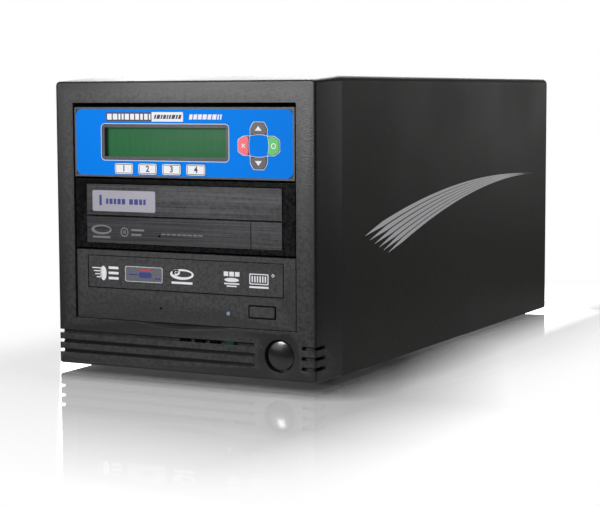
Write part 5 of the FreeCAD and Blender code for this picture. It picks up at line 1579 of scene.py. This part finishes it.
@dataclass
class WriterDrive(Assembly):
    """The writer drive's face: matt surround, tray front with prints, lamp and eject button."""

    softened: ClassVar[Sequence[tuple]] = (
        ("writer_bezel", DRIVE, 0.0003), ("writer_tray_front", DRIVE, 0.0003, 3),
        ("writer_eject_button", DRIVE, 0.00035, 3), ("writer_lamp", LAMP, 0.0003, 3))
    print_up: float = 0.0595
    # The dark ring round the eject button: a painted shadow of its gap.
    shade_grows: Pair = (0.00085, 0.0005)
    shade_radius: float = 0.0008
    badge: tuple[float, ...] = (-0.0268, 0.05945, 0.0264, 0.0095)
    badge_radius: float = 0.0012
    badge_thickness: float = 0.00012
    badge_rim: tuple[Pair, ...] = ((0.0005, 0.0011), (0.0011, 0.0009))
    CAPSULE: ClassVar[tuple] = (0.001, -0.0003, 0.009, 0.0034, 0.0016)
    NAVY_BARS: ClassVar[tuple] = (
        (-0.0073, -0.0003, 0.0062, 0.0009),
        *((0.0085 + step * 0.0013, -0.0022, 0.0008, 0.0013) for step in range(3)))
    RED_BAR: ClassVar[tuple] = (0.001, 0.0027, 0.0085, 0.001)
    DISC_RINGS: ClassVar[tuple] = (
        (-0.0006, 0.0012, 0.0160, 0.0062), (0.0002, 0.0014, 0.0118, 0.0036),
        (-0.0045, 0.0022, 0.0052, 0.0036), (-0.0043, 0.0022, 0.0026, 0.0014),
        (0.0596, 0.0032, 0.0022, 0.0022, 4), (0.0596, 0.0032, 0.0012, 0.0012, 4))
    BOX_RINGS: ClassVar[tuple] = (
        (0.0505, 0.0008, 0.0124, 0.0062, 0.0006), (0.0505, 0.0008, 0.0112, 0.005, 0.0004))
    OVALS: ClassVar[tuple] = ((-0.0553, -0.0004, 0.0044, 0.0086), (0.0327, -0.0004, 0.0096, 0.0024))
    BARS: ClassVar[tuple] = (
        (-0.0006, -0.0038, 0.0142, 0.0013), (0.0327, -0.0026, 0.0100, 0.0008),
        (0.0327, -0.0040, 0.0066, 0.0007), (0.0505, -0.0038, 0.0124, 0.0011),
        *((across, 0.0030, 0.0030, 0.0026) for across in (0.0290, 0.0327, 0.0364)),
        *((-0.0600 + step * 0.0006, 0.0026 - step * 0.0018, 0.0064 - step * 0.0008, 0.0006)
          for step in range(4)),
        *((-0.0481, 0.0030 - step * 0.0031, 0.0070, 0.0015) for step in range(3)),
        *((0.0462 + step * 0.0017, 0.0008, 0.0009, 0.0036) for step in range(6)))

    def details(self) -> None:
        """Lays the badge, the white pictograms and a painted shadow: a dark ring round the eject button
        where its gap is in shade.
        """
        self.silver_badge()
        stamp, near, up = self.shop.stamp, self.shop.front("writer_tray_front"), self.print_up
        rings = raised(oval, up, self.DISC_RINGS) + raised(rounded, up, self.BOX_RINGS)
        shapes = raised(oval, up, self.OVALS) + raised(bar, up, self.BARS)
        stamp("writer_print_rings", list(zip(rings[::2], rings[1::2])), near, WHITE_INK, "writer_tray")
        stamp("writer_print_shapes", shapes, near, WHITE_INK, "writer_tray")
        # Painted shadow: a dark ring on the bezel round the eject button, where the gap is in shade.
        across, up, wide, tall = self.shop.cap("writer_eject_button")
        shade = tuple(rounded(across, up, wide + 2 * grow, tall + 2 * grow, self.shade_radius)
                      for grow in self.shade_grows)
        stamp("writer_eject_shade", [shade], self.shop.front("writer_bezel"), DARK_WINDOW_AND_PAINTED_SHADE)

    def silver_badge(self) -> None:
        """A silver badge with a plain arc and capsule in two colours."""
        stamp, tray = self.shop.stamp, "writer_tray"
        across, up, wide, tall = self.badge
        near = self.shop.box("writer_tray_front")[0].y - self.badge_thickness
        plate = rounded(*self.badge, self.badge_radius)
        stamp("writer_badge", [plate], near, BADGE, tray, self.badge_thickness)
        rim = tuple(rounded(across, up, wide - inset, tall - inset, radius)
                    for inset, radius in self.badge_rim)
        capsule, *bars = [(across + a, *row) for a, *row in (self.CAPSULE, *self.NAVY_BARS)]
        red_across, *red = self.RED_BAR
        near -= PRINT_RISE
        stamp("writer_badge_rim", [rim], near, PALE_INK, tray)
        navy = raised(rounded, up, [capsule]) + raised(bar, up, bars)
        stamp("writer_badge_navy", navy, near, NAVY_INK, tray)
        stamp("writer_badge_red", raised(bar, up, [(across + red_across, *red)]), near, RED_INK, tray)


@dataclass
class DriveInsides(Assembly):
    """What both drives have behind their faces: casings, trays and mechanisms."""

    DRIVES: ClassVar[tuple[str, ...]] = ("master", "writer")
    SOFT_PARTS: ClassVar[tuple] = (
        ("_tray", TRAY, 0.0003), ("_loading_gear", GEAR, 0.0), ("_traverse", MOTOR, 0.0002),
        ("_turntable", GEAR, 0.0002), ("_sled", LOADER, 0.0003))
    dressed: ClassVar[dict[str, Finish]] = {
        "master_casing": BARE_STEEL, "writer_casing": BARE_STEEL, "master_loader_frame": LOADER,
        "writer_loader_frame": LOADER, "drive_boards": BOARD, "loading_motors": MOTOR}

    def details(self) -> None:
        """Softens the moving parts of each drive."""
        for drive in self.DRIVES:
            for part, finish, width in self.SOFT_PARTS:
                self.shop.soften(drive + part, finish, width)


@dataclass
class Supply(Assembly):
    """The power supply's box, inlet and switch, with the leads that leave it."""

    softened: ClassVar[Sequence[tuple]] = (
        ("psu_shell", BARE_STEEL, 0.00012), ("power_inlet", CONNECTOR, 0.0003),
        ("rocker_case", CONNECTOR, 0.0003), ("psu_rocker", CONNECTOR, 0.0004, 3))
    dressed: ClassVar[dict[str, Finish]] = {"internal_leads": LEAD}


@dataclass
class Fan(Assembly):
    """One fan's rotor, on the body of the same name: a hub with a rounded rim and curved blades."""

    node: str
    blades: int = 7
    hub_radius: float = 0.013
    hub_depth: float = 0.018
    hub_edge: float = 0.0012
    hub_round_share: float = 0.3
    root_sink: float = 0.001
    tip_share: float = 0.985
    twist: Pair = (52.0, 30.0)
    chord: Pair = (0.0150, 0.0165)
    thickness: float = 0.0011
    least_thickness: float = 0.06
    camber: float = 0.0016
    spans: int = 8
    chords: int = 8

    def details(self) -> None:
        """Makes the hub and the blades as one piece on the rotor's body."""
        low, high = self.shop.box(self.node)
        middle = (low + high) / 2
        radius, edge, depth = self.hub_radius, self.hub_edge, self.hub_depth
        cut = edge * self.hub_round_share
        profile = [(0, 0), (radius - edge, 0), (radius - cut, cut), (radius, edge), (radius, depth),
                   (0, depth)]
        hub = Shaper.lathe(self.node + "_hub", profile, (-middle.x, middle.z, -high.y), Facing.BACK)
        blade = self.blade((high.z - low.z) / 2 * self.tip_share)
        values = {"Count": self.blades, "Material": self.shop.material(FAN)}
        placing = Matrix.Translation((middle.x, high.y, middle.z))
        blades = self.shop.trees.run(self.node + "_blades", blade, "radial", values, placing)
        rotor = Shaper.merged(self.node + "_finished", [hub, blades])
        self.shop.place(rotor, FAN, self.node, [self.node])

    def blade(self, tip: float) -> Piece:
        """One cambered, twisted blade that grows out of the hub along +X.

        Args:
            tip: The radius of its tip.

        Returns:
            The blade's object.
        """
        work = bmesh.new()
        root = self.hub_radius - self.root_sink
        loops = []
        for span_step in range(self.spans + 1):
            share = span_step / self.spans
            radius = root + (tip - root) * share
            twist, chord = [first + (last - first) * share for first, last in (self.twist, self.chord)]
            cosine, sine = math.cos(math.radians(twist)), math.sin(math.radians(twist))
            loop = []
            for side in (1, -1):
                for step in range(self.chords + 1):
                    portion = step / self.chords if side > 0 else 1 - step / self.chords
                    hump = portion * (1 - portion) * 4
                    half = self.thickness / 2 * math.sqrt(max(hump, self.least_thickness))
                    along, across = chord * (portion - 0.5), self.camber * hump + side * half
                    angle = (along * cosine + across * sine) / radius
                    depth = across * cosine - along * sine - self.hub_depth / 2
                    loop.append(work.verts.new((radius * math.cos(angle), depth,
                                                radius * math.sin(angle))))
            loops.append(loop)
        Shaper.skin(work, loops)
        work.faces.new(loops[0])
        work.faces.new(list(reversed(loops[-1])))
        return Shaper.settle("blade", work, smooth=True)


@dataclass
class Back(Assembly):
    """The case fan's frame and the data socket."""

    softened: ClassVar[Sequence[tuple]] = (
        ("case_fan_frame", FAN, 0.0002), ("data_socket", BARE_STEEL, 0.00015))


@dataclass
class SideBand(Assembly):
    """Printed stripes on the cover's right side that run together towards the back."""

    start_y: float = -0.128
    end_y: float = 0.164
    start_z: float = 0.0700
    end_z: float = 0.1058
    bow: float = 0.0120
    stripes: int = 6
    pitch: float = 0.0046
    share: float = 0.74
    stagger: float = 0.0065
    narrowing: float = 1.35
    tip_widening: float = 12.0
    least_half: float = 0.00008
    steps: int = 48

    def details(self) -> None:
        """Cuts the stripes' outlines and lays them on the cover."""
        side = self.shop.box("top_cover")[1].x
        outlines = [self.stripe(index) for index in range(self.stripes)]
        stripes = Shaper.flat("side_stripes", outlines, Facing.RIGHT, -side - PRINT_RISE)
        self.shop.place(stripes, SIDE_INK)

    def stripe(self, index: int) -> Outline:
        """The outline of one stripe, thick in front and a thin line at the back.

        Args:
            index: Which stripe, counted from the lowest.

        Returns:
            The outline.
        """
        top, bottom = [], []
        first = self.start_y + self.stagger * (self.stripes - 1 - index)
        for step in range(self.steps + 1):
            share = step / self.steps
            y = first + (self.end_y - first) * share
            along = (y - self.start_y) / (self.end_y - self.start_y)
            spread = (1 - along) ** self.narrowing
            rise = (self.end_z - self.start_z) * along + self.bow * 4 * along * (1 - along)
            centre = self.start_z + rise + (index - (self.stripes - 1) / 2) * self.pitch * spread
            half = self.pitch * self.share / 2 * spread * min(1.0, share * self.tip_widening)
            half += self.least_half
            top.append((y, centre + half))
            bottom.append((y, centre - half))
        return bottom + list(reversed(top))


@dataclass(frozen=True)
class Lamp:
    """One soft square lamp of the studio."""

    name: str
    place: Triple
    target: Triple
    size: float
    power: float
    spread: float = 180.0

    def build(self) -> None:
        """Hangs the lamp so that it looks at its target."""
        light = bpy.data.lights.new(self.name, "AREA")
        light.shape = "SQUARE"
        light.size = self.size
        light.energy = self.power
        light.spread = math.radians(self.spread)
        lamp = link(bpy.data.objects.new(self.name, light))
        lamp.location = self.place
        way = Vector(self.target) - Vector(self.place)
        lamp.rotation_euler = way.to_track_quat("-Z", "Y").to_euler()


@dataclass
class Studio:
    """The pale floor, the white surroundings, the lamps and the camera."""

    low: Vector
    high: Vector
    floor_radius: float = 4.0
    floor_steps: int = 96
    floor_roughness: float = 0.03
    fade_end: float = 0.13
    fade_least: float = 0.34
    floor_colour: Triple = (240, 240, 241)
    mirror: float = 0.5
    mirror_end: Pair = (0.115, 0.25)
    mirror_fade: Pair = (0.07, 0.14)
    mirror_lean: float = 0.4
    mirror_least: float = 0.03
    contact: float = 0.5
    contact_reach: Pair = (0.045, 0.036)
    ambient: float = 0.4
    room_gloss: float = 0.04
    wall_y: Pair = (0.3, 0.6)
    wall_x: Pair = (-0.2, 0.05)
    camera_place: Triple = (0.5083, -1.0150, 0.1645)
    camera_turns: tuple[tuple[str, float], ...] = (("Z", 27.62), ("X", 84.59), ("Z", -0.23))
    camera_lens: float = 100.48
    camera_sensor: float = 36.0
    camera_range: Pair = (0.01, 50.0)
    lamps: tuple[Lamp, ...] = (
        Lamp("softbox_near", (-0.16, -0.62, 0.26), (0.02, -0.19, 0.15), 0.16, 0.31, 80.0),
        Lamp("softbox_left", (-1.3, -2.0, 0.75), (0.0, 0.0, 0.1), 1.2, 4.2),
        Lamp("softbox_top", (0.1, -0.1, 2.2), (0.0, 0.0, 0.1), 1.6, 15.0),
        Lamp("softbox_back", (0.45, 1.15, 0.27), (0.0, 0.0, 0.1), 0.4, 0.68),
        Lamp("softbox_rear", (-0.9, 1.9, 0.8), (0.0, 0.0, 0.1), 1.2, 16.0))

    def build(self) -> None:
        """Sets the studio up."""
        self.world()
        self.floor()
        for lamp in self.lamps:
            lamp.build()
        self.camera()
        bpy.context.scene.view_settings.view_transform = "Standard"
        LOG.info("studio ready")

    def world(self) -> None:
        """White where it is seen, and a dimmer room with one pale wall for the light it gives."""
        world = bpy.data.worlds.new("studio")
        bpy.context.scene.world = world
        world.use_nodes = True
        wires = Wiring(world.node_tree)
        ray = wires.add("ShaderNodeLightPath").outputs
        way = wires.split(wires.add("ShaderNodeTexCoord").outputs["Generated"])
        wall = wires.times(wires.remap(way["Y"], *self.wall_y),
                           wires.remap(way["X"], *self.wall_x, 1.0, 0.0))
        mirrored = wires.most(ray["Is Glossy Ray"], ray["Is Transmission Ray"])
        glossy = wires.times(mirrored, wires.most(wall, self.room_gloss))
        seen = wires.most(ray["Is Camera Ray"], glossy)
        ambient = wires.times(wires.less(1.0, mirrored), self.ambient)
        background = world.node_tree.nodes["Background"].inputs
        wires.feed(background["Strength"], wires.most(seen, ambient))
        background["Color"].default_value = (1.0, 1.0, 1.0, 1.0)

    def floor(self) -> None:
        """A pale gloss floor that mirrors the object less with distance and melts into white."""
        work = bmesh.new()
        bmesh.ops.create_circle(work, cap_ends=True, radius=self.floor_radius,
                                segments=self.floor_steps)
        floor = Shaper.settle("floor", work)
        floor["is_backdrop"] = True
        material = bpy.data.materials.new("studio_floor")
        material.use_nodes = True
        tree = material.node_tree
        tree.nodes.remove(tree.nodes["Principled BSDF"])
        wires = Wiring(tree)
        place = wires.split(wires.add("ShaderNodeTexCoord").outputs["Object"])
        half = (self.high - self.low) / 2
        beyond = [wires.most(wires.less(wires.math("ABSOLUTE", place[axis]), side), 0.0)
                  for axis, side in (("X", half.x), ("Y", half.y))]
        below = wires.add("ShaderNodeNewGeometry").outputs["Backfacing"]
        share = self.mirror_share(wires, beyond, place["Y"], below)
        pale = wires.add("ShaderNodeBsdfDiffuse", {"Color": linear(self.floor_colour)}).outputs[0]
        gloss = wires.add("ShaderNodeBsdfGlossy", {"Roughness": self.floor_roughness}).outputs[0]
        clear = wires.add("ShaderNodeBsdfTransparent").outputs[0]
        faded = wires.remap(wires.length(beyond), 0.0, self.fade_end, self.fade_least)
        edge = wires.add("ShaderNodeMixShader", {0: wires.most(faded, below), 1: pale, 2: clear})
        mixed = wires.add("ShaderNodeMixShader", {0: share, 1: edge.outputs[0], 2: gloss})
        wires.feed(tree.nodes["Material Output"].inputs["Surface"], mixed.outputs[0])
        floor.data.materials.append(material)

    def mirror_share(self, wires: Wiring, beyond: Sequence[Socket], along: Socket,
                     below: Socket) -> Socket:
        """How much the floor mirrors: most by the case, less outwards and towards the back.

        Args:
            wires: The floor material's tree.
            beyond: How far the place lies outside the case, across and along it.
            along: The place along the case.
            below: 1 where the floor is seen from below.

        Returns:
            The share's socket, which is 0 for all but the camera's own rays.
        """
        behind = wires.most(wires.less(along, self.low.y), 0.0)
        shrunk = wires.less(self.mirror_end[0], wires.times(behind, self.mirror_lean))
        ends = (wires.most(shrunk, self.mirror_least), self.mirror_end[1])
        fades = []
        for end, value, fade in zip(ends, beyond, self.mirror_fade):
            left = wires.math("DIVIDE", wires.less(end, value), fade)
            fades.append(wires.math("MINIMUM", wires.most(left, 0.0), 1.0))
        wide = wires.times(wires.times(*fades), self.mirror)
        reached = wires.length([wires.math("DIVIDE", value, reach)
                                for value, reach in zip(beyond, self.contact_reach)])
        touch = wires.times(wires.most(wires.less(1.0, reached), 0.0), self.contact)
        seen = wires.add("ShaderNodeLightPath").outputs["Is Camera Ray"]
        return wires.times(wires.plus(wide, touch), wires.times(seen, wires.less(1.0, below)))

    def camera(self) -> None:
        """Stands the camera where the picture was taken from."""
        lens = bpy.data.cameras.new("camera")
        lens.lens = self.camera_lens
        lens.sensor_width = self.camera_sensor
        lens.clip_start, lens.clip_end = self.camera_range
        camera = link(bpy.data.objects.new("camera", lens))
        camera.matrix_world = Matrix.Translation(self.camera_place)
        for axis, angle in self.camera_turns:
            camera.matrix_world = camera.matrix_world @ Matrix.Rotation(math.radians(angle), 4, axis)
        bpy.context.scene.camera = camera


def main() -> None:
    """Builds the sub-assemblies in order and reports each piece."""
    logging.basicConfig(level=logging.INFO, format="%(message)s")
    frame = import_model()
    solid_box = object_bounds()
    shop = Shop(frame)
    parts = [Case(shop), Fasteners(shop), FrontBezel(shop), ControlPanel(shop), MasterDrive(shop),
             WriterDrive(shop), DriveInsides(shop), Supply(shop), Fan(shop, "supply_fan_rotor"),
             Fan(shop, "case_fan_rotor"), Back(shop), SideBand(shop), Studio(*solid_box)]
    for part in parts:
        LOG.info("building %s", type(part).__name__)
        part.build()


if __name__ == "__main__":
    main()
